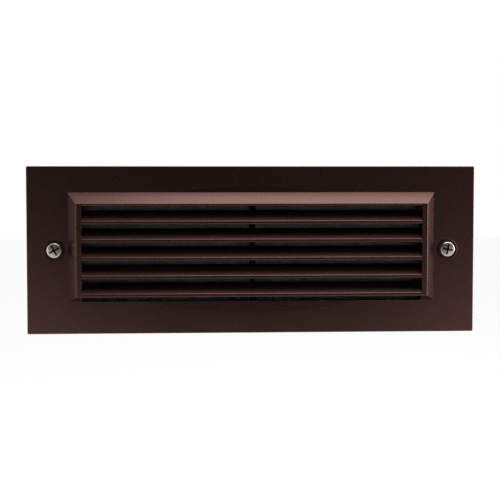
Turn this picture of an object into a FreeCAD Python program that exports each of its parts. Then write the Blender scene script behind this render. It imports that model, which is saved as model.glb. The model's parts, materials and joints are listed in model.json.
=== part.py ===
"""Louvred step light that is built into a wall beside a stair.

The frame: +X to the right, +Y into the wall, +Z up, millimetres. The origin is the centre of the
faceplate's back plane, which lies on the finished wall. The light shines towards -Y.
Every size is a cell of the sheet; formulas name those cells, and the pieces follow them.
"""
import FreeCAD
import Part
import Sketcher
import math
import os
import re

# ---------------------------------------------------------------------------------------------
# Driving dimensions
# ---------------------------------------------------------------------------------------------
SIZES = {
    # shared by many cuts
    "cut_past": 1.0,
    "hole_spare": 0.5,
    "head_clearance": 0.3,
    # faceplate: flat plate
    "plate_width": 235.0,
    "plate_height": 87.5,
    "plate_thickness": 3.2,
    "plate_corner_round": 0.9,
    "plate_edge_round": 0.5,
    # faceplate: bevelled bezel
    "bezel_height": 6.5,
    "bezel_from_screw": 7.2,
    "bezel_from_top": 13.65,
    "bezel_from_bottom": 16.85,
    "bezel_end_slope": 4.5,
    "bezel_top_slope": 5.8,
    "bezel_bottom_slope": 2.9,
    "bezel_edge_round": 0.45,
    "side_bar_width": 2.75,
    "top_bar_lip": 1.4,
    # faceplate: louvre blades
    "blade_count": 5,
    "first_blade_drop": 8.96,
    "last_blade_drop": 1.5,
    "blade_lip": 2.0,
    "blade_depth": 9.0,
    "blade_rise_share": 0.61,
    "blade_top_round": 1.1,
    "blade_bottom_round": 0.5,
    "blade_back_round": 0.4,
    "blade_root": 0.5,
    "rib_width": 3.2,
    "rib_depth": 1.6,
    # faceplate: screw holes, lens seat, gasket channel and clip posts
    "screw_from_end": 14.3,
    "screw_hole_radius": 2.4,
    "counterbore_radius": 5.3,
    "counterbore_depth": 1.2,
    "counterbore_rim": 0.3,
    "seat_recess": 0.4,
    "channel_depth": 1.0,
    "channel_from_end": 1.9,
    "channel_from_top": 4.75,
    "channel_from_post": 0.3,
    "channel_from_lens": 1.1,
    "post_from_lens_end": 2.85,
    "post_from_lens_top": 11.1,
    "post_radius": 2.3,
    # faceplate gasket
    "gasket_stand": 1.6,
    "gasket_clearance": 0.3,
    "gasket_hole_radius": 2.7,
    # lens, its gasket and its clips
    "lens_thickness": 4.0,
    "lens_overlap": 3.0,
    "lens_overlap_height": 4.2,
    "lens_corner_round": 2.0,
    "lens_gasket_thickness": 1.4,
    "lens_gasket_inset": 0.3,
    "clip_width": 6.0,
    "clip_thickness": 0.8,
    "clip_bearing": 4.0,
    "clip_corner_round": 0.8,
    # faceplate screws and washers
    "screw_radius": 2.05,
    "screw_length": 12.7,
    "screw_head_radius": 3.95,
    "screw_head_height": 2.4,
    "screw_head_crown": 1.1,
    "recess_half_length": 2.3,
    "recess_half_width": 0.5,
    "recess_depth": 1.3,
    "washer_radius": 4.9,
    "washer_thickness": 0.8,
    "left_recess_turn": 29.0,
    "right_recess_turn": -12.0,
    "tapped_clearance": 0.07,
    # housing
    "housing_beyond_screw": 1.8,
    "housing_from_edge": 6.25,
    "housing_depth": 80.4,
    "housing_wall": 3.0,
    "housing_corner_round": 6.0,
    "housing_back_edge": 1.6,
    "housing_inner_round": 3.0,
    "housing_draft": 0.7,
    "boss_radius": 4.75,
    "boss_depth": 22.0,
    "boss_hole_depth": 17.0,
    "hub_radius": 14.0,
    "hub_bore_radius": 10.2,
    "hub_stand": 6.0,
    "hub_inner_stand": 1.5,
    "hub_edge": 0.8,
    "side_hub_from_back": 26.0,
    "rear_hub_from_end": 27.0,
    "ear_length": 10.0,
    "ear_half_width": 6.5,
    "ear_half_spacing_z": 22.0,
    "ear_from_wall": 12.0,
    "ear_thickness": 3.0,
    "ear_hole_from_box": 5.4,
    "ear_hole_radius": 2.3,
    "ear_corner_round": 3.5,
    "pillar_from_end": 13.0,
    "pillar_from_side": 6.9,
    "pillar_half_width": 3.9,
    "pillar_from_wall": 13.0,
    # conduit plugs
    "plug_clearance": 0.1,
    "plug_inset": 0.8,
    "plug_length": 7.0,
    "plug_socket_flats": 9.6,
    "plug_socket_depth": 4.5,
    "plug_edge": 0.6,
    # small machine screws inside
    "m3_radius": 1.45,
    "m3_head_radius": 2.8,
    "m3_head_height": 1.8,
    "m3_length": 9.0,
    "m3_short_length": 6.0,
    "m3_tapped_radius": 1.5,
    "m3_clear_radius": 1.8,
    # reflector tray
    "tray_sheet": 1.0,
    "tray_flange_end": 5.0,
    "tray_flange_side": 2.4,
    "tray_mouth_end": 6.0,
    "tray_mouth_side": 4.6,
    "tray_end_slope": 8.0,
    "tray_side_slope": 6.0,
    "tray_pan_depth": 26.0,
    "tray_corner_round": 2.0,
    # LED board
    "pad_thickness": 0.5,
    "pad_inset": 1.0,
    "board_from_tray_end": 13.0,
    "board_from_tray_side": 5.0,
    "board_thickness": 1.6,
    "board_hole_inset_x": 5.0,
    "board_hole_inset_z": 4.0,
    "chip_length": 3.5,
    "chip_height": 2.8,
    "chip_thickness": 0.8,
    "chip_from_hole": 6.0,
    "chip_columns": 16,
    "chip_row_half_gap": 5.4,
    # grommet
    "grommet_from_board": 7.5,
    "grommet_bore_radius": 2.6,
    "grommet_neck_radius": 3.3,
    "grommet_flange_radius": 4.6,
    "grommet_flange": 1.0,
    "grommet_clearance": 0.1,
    # LED driver
    "driver_centre_x": 1.0,
    "driver_length": 92.0,
    "driver_height": 34.0,
    "driver_depth": 24.0,
    "driver_wall": 1.5,
    "driver_corner_round": 2.5,
    "driver_tab_length": 8.0,
    "driver_tab_half_height": 8.0,
    "driver_tab_thickness": 2.5,
    "driver_hole_inset": 4.0,
    "potting_recess": 1.2,
    "foot_height": 2.0,
    "foot_radius": 4.5,
    # terminal block
    "block_centre_x": 72.0,
    "block_width": 16.0,
    "block_height": 38.0,
    "block_depth": 12.0,
    "block_edge": 0.6,
    "block_fixing_half_spacing": 15.5,
    "block_fixing_floor": 3.0,
    "pole_count": 3,
    "pole_pitch": 10.0,
    "clamp_radius": 2.2,
    "clamp_bore_radius": 1.2,
    "clamp_clearance": 0.1,
    "clamp_from_foot": 5.5,
    "clamp_inset": 1.0,
    "well_radius": 2.2,
    "well_half_spacing": 4.0,
    "clamp_screw_radius": 1.8,
    "clamp_screw_recess": 1.0,
    "clamp_screw_slot": 0.6,
    # earth screw and ring terminal
    "ground_x": 30.0,
    "ground_from_driver": 6.4,
    "ground_boss_radius": 4.2,
    "ring_thickness": 0.8,
    "ring_radius": 3.9,
    "barrel_gap": 0.8,
    "barrel_radius": 1.7,
    "barrel_length": 5.0,
    "ground_head_radius": 3.2,
    # leads
    "lead_radius": 0.85,
    "lead_clearance": 0.25,
    "lead_fit": 0.1,
    "led_pad_inset": 3.5,
    "led_pad_z": 4.5,
    "led_lead_loop": 6.5,
    "led_lead_drop": 7.5,
    "led_lead_entry": 8.0,
    "led_lead_taper": 0.6,
    "led_lead_bend": 5.0,
    "led_lead_entry_z": 5.0,
    "lead_wander": 1.0,
    "lead_bow": 3.0,
    "driver_lead_entry": 7.0,
    "driver_lead_loop": 6.5,
}

# Depths behind the wall plane, as formulas that several pieces share
HOUSING_BACK = "gasket_stand + housing_depth"
FLOOR = "gasket_stand + housing_depth - housing_wall"
SEAT = FLOOR + " - foot_height"
LENS_FRONT = "lens_gasket_thickness - seat_recess"
LENS_BACK = LENS_FRONT + " + lens_thickness"

# Places across and up from the centre of the plate, each tied to its neighbour
SCREW_X = "(plate_width / 2 - screw_from_end)"
BEZEL_BASE_X = f"({SCREW_X} - bezel_from_screw)"
BEZEL_BASE_TOP = "(plate_height / 2 - bezel_from_top)"
BEZEL_BASE_BOTTOM = "(plate_height / 2 - bezel_from_bottom)"
BEZEL_FRONT_X = f"({BEZEL_BASE_X} - bezel_end_slope)"
BEZEL_FRONT_TOP = f"({BEZEL_BASE_TOP} - bezel_top_slope)"
BEZEL_FRONT_BOTTOM = f"({BEZEL_BASE_BOTTOM} - bezel_bottom_slope)"
OPENING_X = f"({BEZEL_FRONT_X} - side_bar_width)"
FIRST_BLADE = f"({BEZEL_FRONT_TOP} - first_blade_drop)"
LAST_BLADE = f"(last_blade_drop - {BEZEL_FRONT_BOTTOM})"
BLADE_PITCH = f"(({FIRST_BLADE} - {LAST_BLADE}) / (blade_count - 1))"
BLADE_RISE = f"({BLADE_PITCH} * blade_rise_share)"
LENS_X = f"({OPENING_X} + lens_overlap)"
LENS_Z = f"({BEZEL_BASE_BOTTOM} + lens_overlap_height)"
POST_X = f"({LENS_X} + post_from_lens_end)"
POST_Z = f"({LENS_Z} - post_from_lens_top)"
CHANNEL_OUTER_X = "(plate_width / 2 - channel_from_end)"
CHANNEL_OUTER_Z = "(plate_height / 2 - channel_from_top)"
CHANNEL_INNER_X = f"({POST_X} + post_radius + channel_from_post)"
CHANNEL_INNER_Z = f"({LENS_Z} + channel_from_lens)"
HOUSING_X = f"({SCREW_X} + housing_beyond_screw)"
HOUSING_Z = "(plate_height / 2 - housing_from_edge)"
REAR_HUB_X = f"(rear_hub_from_end - {HOUSING_X})"
EAR_END = f"({HOUSING_X} + ear_length)"
EAR_HOLE_X = f"({HOUSING_X} + ear_hole_from_box)"
PILLAR_X = f"({HOUSING_X} - pillar_from_end)"
PILLAR_Z = f"({HOUSING_Z} - pillar_from_side)"
TRAY_FLANGE_X = f"({PILLAR_X} + tray_flange_end)"
TRAY_FLANGE_Z = f"({PILLAR_Z} + tray_flange_side)"
TRAY_MOUTH_X = f"({PILLAR_X} - tray_mouth_end)"
TRAY_MOUTH_Z = f"({PILLAR_Z} - tray_mouth_side)"
TRAY_BACK_X = f"({TRAY_MOUTH_X} - tray_end_slope)"
TRAY_BACK_Z = f"({TRAY_MOUTH_Z} - tray_side_slope)"
BOARD_X = f"({TRAY_BACK_X} - board_from_tray_end)"
BOARD_Z = f"({TRAY_BACK_Z} - board_from_tray_side)"
BOARD_HOLE_X = f"({BOARD_X} - board_hole_inset_x)"
BOARD_HOLE_Z = f"({BOARD_Z} - board_hole_inset_z)"
CHIP_PITCH = f"(2 * ({BOARD_HOLE_X} - chip_from_hole) / (chip_columns - 1))"
LED_PAD_X = f"({BOARD_X} - led_pad_inset)"
GROMMET_X = f"(-{BOARD_X} - grommet_from_board)"
GROUND_Z = "(-driver_height / 2 - ground_from_driver)"

# More depths
HUB_DEPTH = HOUSING_BACK + " - side_hub_from_back"
TRAY_FRONT = "pillar_from_wall - tray_sheet"
TRAY_FLOOR = "pillar_from_wall - tray_sheet + tray_pan_depth"
BOARD_BACK = TRAY_FLOOR + " - pad_thickness"
BOARD_FRONT = BOARD_BACK + " - board_thickness"
CLAMP_DEPTH = SEAT + " - clamp_from_foot"
GROUND_SEAT = CLAMP_DEPTH + " + ring_thickness / 2"
BARREL_START = "ground_x + ground_boss_radius + barrel_gap"
DRIVER_FRONT = SEAT + " - driver_depth"
DRIVER_HOLE_X = "driver_length / 2 + driver_tab_length - driver_hole_inset"
BLOCK_FRONT = SEAT + " - block_depth"
FOOT_PLACES = [
    (f"driver_centre_x - ({DRIVER_HOLE_X})", "0"),
    (f"driver_centre_x + {DRIVER_HOLE_X}", "0"),
    ("block_centre_x", "-block_fixing_half_spacing"),
    ("block_centre_x", "block_fixing_half_spacing"),
]
COUNTERBORE_SEAT = "counterbore_depth - plate_thickness"
HEAD_SEAT = COUNTERBORE_SEAT + " - washer_thickness"
TAPPED_RADIUS = "screw_radius + tapped_clearance"

doc = FreeCAD.newDocument("StepLight")
sheet = doc.addObject("Spreadsheet::Sheet", "Sizes")
for row, (name, number) in enumerate(SIZES.items(), start=1):
    sheet.set(f"A{row}", name)
    sheet.set(f"B{row}", str(number))
    sheet.setAlias(f"B{row}", name)
gauge = doc.addObject("App::FeaturePython", "Gauge")
gauge.addProperty("App::PropertyFloat", "Reading")
doc.recompute()

PIECES = []
LEAD_SIDES = 8
ACROSS = FreeCAD.Vector(1, 0, 0)
DEEP = FreeCAD.Vector(0, 1, 0)
UP = FreeCAD.Vector(0, 0, 1)


# ---------------------------------------------------------------------------------------------
# Helpers: formulas, sketches, features
# ---------------------------------------------------------------------------------------------
def formula(text):
    """Put the sheet's name before every size in a formula."""
    return re.sub(r"\b([a-z][a-z0-9]*_[a-z0-9_]+)\b", r"Sizes.\1", text)


def bind(thing, target, text):
    """Tie a property or a constraint to a formula of the sheet's cells."""
    thing.setExpression(target, formula(text))


def size(text):
    """Number that a formula of the sheet's cells gives."""
    bind(gauge, "Reading", text)
    gauge.recompute()
    return gauge.Reading


def new_body(label):
    """An empty body whose label names the piece."""
    body = doc.addObject("PartDesign::Body", label)
    body.Label = label
    body.AllowCompound = True
    PIECES.append(body)
    return body


def plane_of(body, role):
    """Origin plane or axis of a body, found by its role."""
    return next(item for item in body.Origin.OriginFeatures if item.Role == role)


def sketch_on(body, role, offset="0"):
    """A sketch on an origin plane of the body, moved along the plane's normal by a formula."""
    sketch = body.newObject("Sketcher::SketchObject", body.Label + "_sketch")
    sketch.AttachmentSupport = [(plane_of(body, role), "")]
    sketch.MapMode = "FlatFace"
    bind(sketch, "AttachmentOffset.Base.z", offset)
    return sketch


def front_sketch(body, depth):
    """A sketch seen from the front, X across and Z up, in the plane y = depth."""
    return sketch_on(body, "XZ_Plane", "-(" + depth + ")")


def side_sketch(body, across):
    """A sketch seen from the side, Y across and Z up, in the plane x = across."""
    return sketch_on(body, "YZ_Plane", across)


def four_corners(half_across, half_up):
    """The corners of a rectangle about the origin, as pairs of formulas."""
    return [(f"{side}{half_across}", f"{way}{half_up}") for side in ("-", "") for way in ("-", "")]


def pin_point(sketch, curve, end, across, up):
    """Hold a point of a curve at two distances from the sketch's origin."""
    for kind, text in (("DistanceX", across), ("DistanceY", up)):
        number = sketch.addConstraint(Sketcher.Constraint(kind, -1, 1, curve, end, size(text)))
        bind(sketch, f"Constraints[{number}]", text)


def outline(sketch, points):
    """A closed outline of straight lines through points given as pairs of formulas."""
    count = len(points)
    first = sketch.GeometryCount
    corners = [FreeCAD.Vector(size(across), size(up), 0) for across, up in points]
    for i in range(count):
        sketch.addGeometry(Part.LineSegment(corners[i], corners[(i + 1) % count]), False)
    for i in range(count):
        following = first + (i + 1) % count
        sketch.addConstraint(Sketcher.Constraint("Coincident", first + i, 2, following, 1))
    for i, (across, up) in enumerate(points):
        pin_point(sketch, first + i, 1, across, up)
    return first


def round_corner(sketch, curve, radius):
    """Put an arc at the start of an outline's line; its corner stays as a point that is held."""
    doc.recompute()
    before = sketch.GeometryCount
    sketch.fillet(curve, 1, size(radius), True, True)
    for added in range(before, sketch.GeometryCount):
        if isinstance(sketch.Geometry[added], Part.ArcOfCircle):
            number = sketch.addConstraint(Sketcher.Constraint("Radius", added, size(radius)))
            bind(sketch, f"Constraints[{number}]", radius)


def rectangle(sketch, left, right, bottom, top):
    """A rectangle between four formulas."""
    outline(sketch, [(left, bottom), (right, bottom), (right, top), (left, top)])


def centred_rectangle(sketch, half_width, half_height, across="0", up="0"):
    """A rectangle about a centre."""
    rectangle(
        sketch,
        f"{across} - ({half_width})",
        f"{across} + ({half_width})",
        f"{up} - ({half_height})",
        f"{up} + ({half_height})",
    )


def rounded_rectangle(sketch, half_width, half_height, radius):
    """A rectangle about the origin with an arc at each corner."""
    corners = [("-", "-"), ("", "-"), ("", ""), ("-", "")]
    places = [(f"{side}({half_width})", f"{way}({half_height})") for side, way in corners]
    first = outline(sketch, places)
    for side in range(4):
        round_corner(sketch, first + side, radius)


def circle(sketch, across, up, radius):
    """A circle whose centre and radius are formulas."""
    centre = FreeCAD.Vector(size(across), size(up), 0)
    shape = Part.Circle(centre, FreeCAD.Vector(0, 0, 1), size(radius))
    curve = sketch.addGeometry(shape, False)
    pin_point(sketch, curve, 3, across, up)
    number = sketch.addConstraint(Sketcher.Constraint("Radius", curve, size(radius)))
    bind(sketch, f"Constraints[{number}]", radius)


def finish_feature(body, feature):
    """Make a feature the body's last one and work it out."""
    body.Tip = feature
    doc.recompute()
    return feature


def pad(body, sketch, length, away=False, both=False, draft=None):
    """Pad along the sketch's normal, against it (away), or half to each side (both)."""
    feature = body.newObject("PartDesign::Pad", body.Label + "_pad")
    feature.Profile = sketch
    feature.Reversed = away
    if both:
        feature.SideType = "Symmetric"
    bind(feature, "Length", length)
    if draft:
        bind(feature, "TaperAngle", draft)
    return finish_feature(body, feature)


def pocket(body, sketch, length, away=False, both=False, draft=None):
    """Pocket against the sketch's normal, along it (away), or half to each side (both)."""
    before = body.Tip.Shape.Volume
    feature = body.newObject("PartDesign::Pocket", body.Label + "_pocket")
    feature.Profile = sketch
    feature.Reversed = away
    if both:
        feature.SideType = "Symmetric"
    bind(feature, "Length", length)
    if draft:
        bind(feature, "TaperAngle", draft)
    finish_feature(body, feature)
    if feature.Shape.Volume >= before:
        raise RuntimeError(body.Label + ": a pocket removed nothing")
    return feature


def loft(body, first, second, kind="PartDesign::AdditiveLoft"):
    """A ruled loft from one sketch to another."""
    feature = body.newObject(kind, body.Label + "_loft")
    feature.Profile = first
    feature.Sections = [second]
    feature.Ruled = True
    return finish_feature(body, feature)


def revolve(body, sketch, axis="V_Axis"):
    """A full turn about an axis of the sketch."""
    feature = body.newObject("PartDesign::Revolution", body.Label + "_turned")
    feature.Profile = sketch
    feature.ReferenceAxis = (sketch, [axis])
    feature.Angle = 360
    return finish_feature(body, feature)


def repeat(body, originals, axis, count, spacing, away=False):
    """Copies of features along an origin axis (or against it), spaced by a formula."""
    feature = body.newObject("PartDesign::LinearPattern", body.Label + "_pattern")
    feature.Originals = originals
    feature.Direction = (plane_of(body, axis), [""])
    feature.Reversed = away
    feature.Mode = "Spacing"
    bind(feature, "Offset", spacing)
    bind(feature, "Occurrences", count)
    return finish_feature(body, feature)


def mirror(body, originals, role):
    """Mirror features over an origin plane."""
    feature = body.newObject("PartDesign::Mirrored", body.Label + "_mirror")
    feature.Originals = originals
    feature.MirrorPlane = (plane_of(body, role), [""])
    return finish_feature(body, feature)


def near(one, other, slack=0.01):
    """Whether two numbers agree."""
    return abs(one - other) < slack


def straight_edges(shape, run, wanted):
    """Names of the straight edges that run along a direction and whose middle is wanted."""
    names = []
    for number, edge in enumerate(shape.Edges, start=1):
        start = edge.Vertexes[0].Point
        end = edge.Vertexes[-1].Point
        length = start.distanceToPoint(end)
        if length < 0.01 or not near(edge.Length, length, 1e-5):
            continue
        heading = (end - start).normalize()
        if abs(heading.dot(run)) > 0.995 and wanted((start + end) * 0.5):
            names.append(f"Edge{number}")
    return names


def edges_at_depth(shape, depth):
    """Names of all edges that lie in the plane y = depth."""
    names = []
    for number, edge in enumerate(shape.Edges, start=1):
        middle = edge.valueAt((edge.FirstParameter + edge.LastParameter) / 2)
        points = [vertex.Point for vertex in edge.Vertexes] + [middle]
        if all(near(point.y, depth) for point in points):
            names.append(f"Edge{number}")
    return names


def full_circles(shape, wanted):
    """Names of the closed circular edges whose centre and radius are wanted."""
    names = []
    for number, edge in enumerate(shape.Edges, start=1):
        if edge.isClosed() and wanted(edge.CenterOfMass, edge.Length / (2 * math.pi)):
            names.append(f"Edge{number}")
    return names


def dress(body, kind, edges, amount):
    """Fillet or chamfer of named edges."""
    if not edges:
        raise RuntimeError(body.Label + ": no edge to round")
    before = body.Tip
    feature = body.newObject(kind, body.Label + "_edges")
    feature.Base = (before, edges)
    bind(feature, "Radius" if kind.endswith("Fillet") else "Size", amount)
    return finish_feature(body, feature)


def fillet(body, edges, radius):
    """Round named edges."""
    return dress(body, "PartDesign::Fillet", edges, radius)


def chamfer(body, edges, amount):
    """Bevel named edges."""
    return dress(body, "PartDesign::Chamfer", edges, amount)


POSTS = four_corners(POST_X, POST_Z)
PILLARS = four_corners(PILLAR_X, PILLAR_Z)
BOARD_HOLES = four_corners(BOARD_HOLE_X, BOARD_HOLE_Z)


# ---------------------------------------------------------------------------------------------
# Faceplate
# ---------------------------------------------------------------------------------------------
def plate_and_bezel(body):
    """Flat plate with rounded corners and the bevelled frame that stands on it."""
    flat = front_sketch(body, "0")
    centred_rectangle(flat, "plate_width / 2", "plate_height / 2")
    pad(body, flat, "plate_thickness")
    corners = straight_edges(body.Tip.Shape, DEEP, lambda mid: True)
    fillet(body, corners, "plate_corner_round")
    fillet(body, edges_at_depth(body.Tip.Shape, -size("plate_thickness")), "plate_edge_round")

    base = front_sketch(body, "-plate_thickness")
    rectangle(
        base, f"-{BEZEL_BASE_X}", BEZEL_BASE_X, f"-{BEZEL_BASE_BOTTOM}", BEZEL_BASE_TOP
    )
    face = front_sketch(body, "-plate_thickness - bezel_height")
    rectangle(
        face,
        f"-{BEZEL_FRONT_X}",
        BEZEL_FRONT_X,
        f"-{BEZEL_FRONT_BOTTOM}",
        BEZEL_FRONT_TOP,
    )
    loft(body, base, face)


def louvre_opening(body):
    """The opening between the bars; its upper side slopes like a blade, then runs straight back."""
    front = "-plate_thickness - bezel_height"
    ceiling_rise = f"{BLADE_RISE} / blade_depth * (bezel_height - cut_past)"
    side = side_sketch(body, "0")
    outline(
        side,
        [
            (front + " - cut_past", f"-{BEZEL_BASE_BOTTOM}"),
            ("cut_past", f"-{BEZEL_BASE_BOTTOM}"),
            ("cut_past", f"{BEZEL_FRONT_TOP} - top_bar_lip + {ceiling_rise}"),
            ("-plate_thickness - cut_past", f"{BEZEL_FRONT_TOP} - top_bar_lip + {ceiling_rise}"),
            (front, f"{BEZEL_FRONT_TOP} - top_bar_lip"),
            (front + " - cut_past", f"{BEZEL_FRONT_TOP} - top_bar_lip"),
        ],
    )
    pocket(body, side, f"2 * ({OPENING_X})", both=True)


def bezel_rounds(body):
    """Small cast rounds on the mitres, the front edges of the bezel and the top bar's lip."""
    front = -size("plate_thickness") - size("bezel_height")
    outer = size(BEZEL_FRONT_X)
    top = size(BEZEL_FRONT_TOP)
    bottom = -size(BEZEL_FRONT_BOTTOM)
    lip = top - size("top_bar_lip")

    def on_front_rim(mid):
        on_side = near(abs(mid.x), outer)
        on_end = near(mid.z, top) or near(mid.z, bottom) or near(mid.z, lip)
        return near(mid.y, front) and (on_side or on_end)

    shape = body.Tip.Shape
    names = straight_edges(shape, ACROSS, on_front_rim) + straight_edges(shape, UP, on_front_rim)
    mitre_middle = (outer + size(BEZEL_BASE_X)) / 2
    for number, edge in enumerate(shape.Edges, start=1):
        mid = (edge.Vertexes[0].Point + edge.Vertexes[-1].Point) * 0.5
        slanted = near(abs(mid.x), mitre_middle, 0.05)
        if slanted and near(mid.y, -size("plate_thickness") - size("bezel_height") / 2, 0.05):
            names.append(f"Edge{number}")
    fillet(body, names, "bezel_edge_round")


def louvre_blades(body):
    """Slanting blades: each rises from its front lip towards the lens behind it."""
    front = "-plate_thickness - bezel_height"
    back = front + " + blade_depth"
    profile = side_sketch(body, "0")
    lower = outline(
        profile,
        [
            (front, f"{FIRST_BLADE} - blade_lip"),
            (back, f"{FIRST_BLADE} - blade_lip + {BLADE_RISE}"),
            (back, f"{FIRST_BLADE} + {BLADE_RISE}"),
            (front, FIRST_BLADE),
        ],
    )
    round_corner(profile, lower, "blade_bottom_round")
    round_corner(profile, lower + 1, "blade_back_round")
    round_corner(profile, lower + 2, "blade_back_round")
    round_corner(profile, lower + 3, "blade_top_round")
    blade = pad(body, profile, f"2 * ({OPENING_X} + blade_root)", both=True)
    repeat(body, [blade], "Z_Axis", "blade_count", BLADE_PITCH, away=True)

    rib = front_sketch(body, "0")
    rectangle(
        rib,
        "-rib_width / 2",
        "rib_width / 2",
        f"-{BEZEL_BASE_BOTTOM} - blade_root",
        f"{BEZEL_FRONT_TOP} + blade_root",
    )
    pad(body, rib, "rib_depth")


def faceplate_back(body):
    """Sunk seat for the lens, gasket channel round it, and the posts that carry the lens clips."""
    seat = front_sketch(body, "0")
    centred_rectangle(seat, CHANNEL_INNER_X, CHANNEL_INNER_Z)
    pocket(body, seat, "seat_recess", away=True)

    channel = front_sketch(body, "0")
    centred_rectangle(channel, CHANNEL_OUTER_X, CHANNEL_OUTER_Z)
    centred_rectangle(channel, CHANNEL_INNER_X, CHANNEL_INNER_Z)
    pocket(body, channel, "channel_depth", away=True)

    posts = front_sketch(body, "-seat_recess")
    holes = front_sketch(body, LENS_BACK)
    for across, up in POSTS:
        circle(posts, across, up, "post_radius")
        circle(holes, across, up, "m3_tapped_radius")
    pad(body, posts, f"{LENS_BACK} + seat_recess", away=True)
    pocket(body, holes, "m3_short_length - clip_thickness + hole_spare", away=True)


def faceplate_screw_holes(body):
    """Two clearance holes with counterbores for the sealing washers."""
    holes = front_sketch(body, "-plate_thickness")
    circle(holes, f"-{SCREW_X}", "0", "screw_hole_radius")
    circle(holes, SCREW_X, "0", "screw_hole_radius")
    pocket(body, holes, "plate_thickness + cut_past")
    seats = front_sketch(body, "-plate_thickness")
    circle(seats, f"-{SCREW_X}", "0", "counterbore_radius")
    circle(seats, SCREW_X, "0", "counterbore_radius")
    pocket(body, seats, "counterbore_depth")
    front = -size("plate_thickness")
    mouth = full_circles(
        body.Tip.Shape,
        lambda centre, radius: near(centre.y, front) and near(radius, size("counterbore_radius")),
    )
    chamfer(body, mouth, "counterbore_rim")


def faceplate():
    """The visible casting."""
    body = new_body("faceplate")
    plate_and_bezel(body)
    louvre_opening(body)
    bezel_rounds(body)
    louvre_blades(body)
    faceplate_back(body)
    faceplate_screw_holes(body)


# ---------------------------------------------------------------------------------------------
# Seals and lens
# ---------------------------------------------------------------------------------------------
def faceplate_gasket():
    """Soft ring that fills the channel and stands proud of it against the housing's rim."""
    body = new_body("faceplate_gasket")
    ring = front_sketch(body, "-channel_depth")
    centred_rectangle(
        ring,
        f"{CHANNEL_OUTER_X} - gasket_clearance",
        f"{CHANNEL_OUTER_Z} - gasket_clearance",
    )
    centred_rectangle(
        ring,
        f"{CHANNEL_INNER_X} + gasket_clearance",
        f"{CHANNEL_INNER_Z} + gasket_clearance",
    )
    pad(body, ring, "channel_depth + gasket_stand", away=True)
    holes = front_sketch(body, "-channel_depth")
    circle(holes, f"-{SCREW_X}", "0", "gasket_hole_radius")
    circle(holes, SCREW_X, "0", "gasket_hole_radius")
    pocket(body, holes, "channel_depth + gasket_stand + cut_past")


def lens_gasket():
    """Flat ring between the faceplate's back and the glass."""
    body = new_body("lens_gasket")
    ring = front_sketch(body, "-seat_recess")
    centred_rectangle(
        ring, LENS_X + " - lens_gasket_inset", LENS_Z + " - lens_gasket_inset"
    )
    centred_rectangle(
        ring, OPENING_X + " + lens_gasket_inset", f"{BEZEL_BASE_BOTTOM} + lens_gasket_inset"
    )
    pad(body, ring, "lens_gasket_thickness", away=True)


def lens():
    """Frosted glass plate with rounded corners."""
    body = new_body("lens")
    face = front_sketch(body, LENS_FRONT)
    centred_rectangle(face, LENS_X, LENS_Z)
    pad(body, face, "lens_thickness", away=True)
    corners = straight_edges(body.Tip.Shape, DEEP, lambda mid: True)
    fillet(body, corners, "lens_corner_round")


def lens_clips():
    """Four flat spring clips; each is screwed to a post and bears on the back of the glass."""
    body = new_body("lens_clips")
    strips = front_sketch(body, LENS_BACK)
    inner = f"{LENS_X} - clip_bearing"
    outer = f"{POST_X} + post_radius"
    for across, up in POSTS:
        side = "-" if across.startswith("-") else ""
        rectangle(
            strips,
            f"{side}({inner})",
            f"{side}({outer})",
            f"{up} - clip_width / 2",
            f"{up} + clip_width / 2",
        )
    pad(body, strips, "clip_thickness", away=True)
    corners = straight_edges(body.Tip.Shape, DEEP, lambda mid: True)
    fillet(body, corners, "clip_corner_round")
    holes = front_sketch(body, LENS_BACK)
    for across, up in POSTS:
        circle(holes, across, up, "m3_clear_radius")
    pocket(body, holes, "clip_thickness + cut_past")


# ---------------------------------------------------------------------------------------------
# Screws and washers
# ---------------------------------------------------------------------------------------------
def pan_screw_profile(sketch, across, seat, head_radius, head_height, crown, radius, length):
    """Half section of a bevelled pan head screw; the head is in front of the seat, the shank behind."""
    front = f"{seat} - {head_height}"
    tip = f"{seat} + {length}"
    outline(
        sketch,
        [
            (across, front),
            (f"{across} + {head_radius} - {crown}", front),
            (f"{across} + {head_radius}", f"{front} + {crown}"),
            (f"{across} + {head_radius}", seat),
            (f"{across} + {radius}", seat),
            (f"{across} + {radius}", f"{tip} - {radius} / 4"),
            (f"{across} + 3 * {radius} / 4", tip),
            (across, tip),
        ],
    )


def faceplate_screw(label, side, turn):
    """Machine screw with a cross recess; it holds the faceplate to the housing."""
    body = new_body(label)
    section = sketch_on(body, "XY_Plane")
    pan_screw_profile(
        section,
        "0",
        f"({HEAD_SEAT})",
        "screw_head_radius",
        "screw_head_height",
        "screw_head_crown",
        "screw_radius",
        "screw_length",
    )
    revolve(body, section)
    cross = front_sketch(body, f"{HEAD_SEAT} - screw_head_height")
    arm, half = "recess_half_length", "recess_half_width"
    outline(
        cross,
        [
            (arm, "-" + half),
            (arm, half),
            (half, half),
            (half, arm),
            ("-" + half, arm),
            ("-" + half, half),
            ("-" + arm, half),
            ("-" + arm, "-" + half),
            ("-" + half, "-" + half),
            ("-" + half, "-" + arm),
            (half, "-" + arm),
            (half, "-" + half),
        ],
    )
    pocket(body, cross, "recess_depth")
    body.Placement = FreeCAD.Placement(
        FreeCAD.Vector(0, 0, 0), FreeCAD.Rotation(FreeCAD.Vector(0, -1, 0), size(turn))
    )
    bind(body, "Placement.Base.x", f"{side}{SCREW_X}")


def screw_washer(label, side):
    """Sealing washer that lies in a counterbore under the screw's head."""
    body = new_body(label)
    ring = front_sketch(body, HEAD_SEAT)
    circle(ring, "0", "0", "washer_radius")
    circle(ring, "0", "0", "screw_hole_radius")
    pad(body, ring, "washer_thickness", away=True)
    bind(body, "Placement.Base.x", f"{side}{SCREW_X}")


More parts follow.
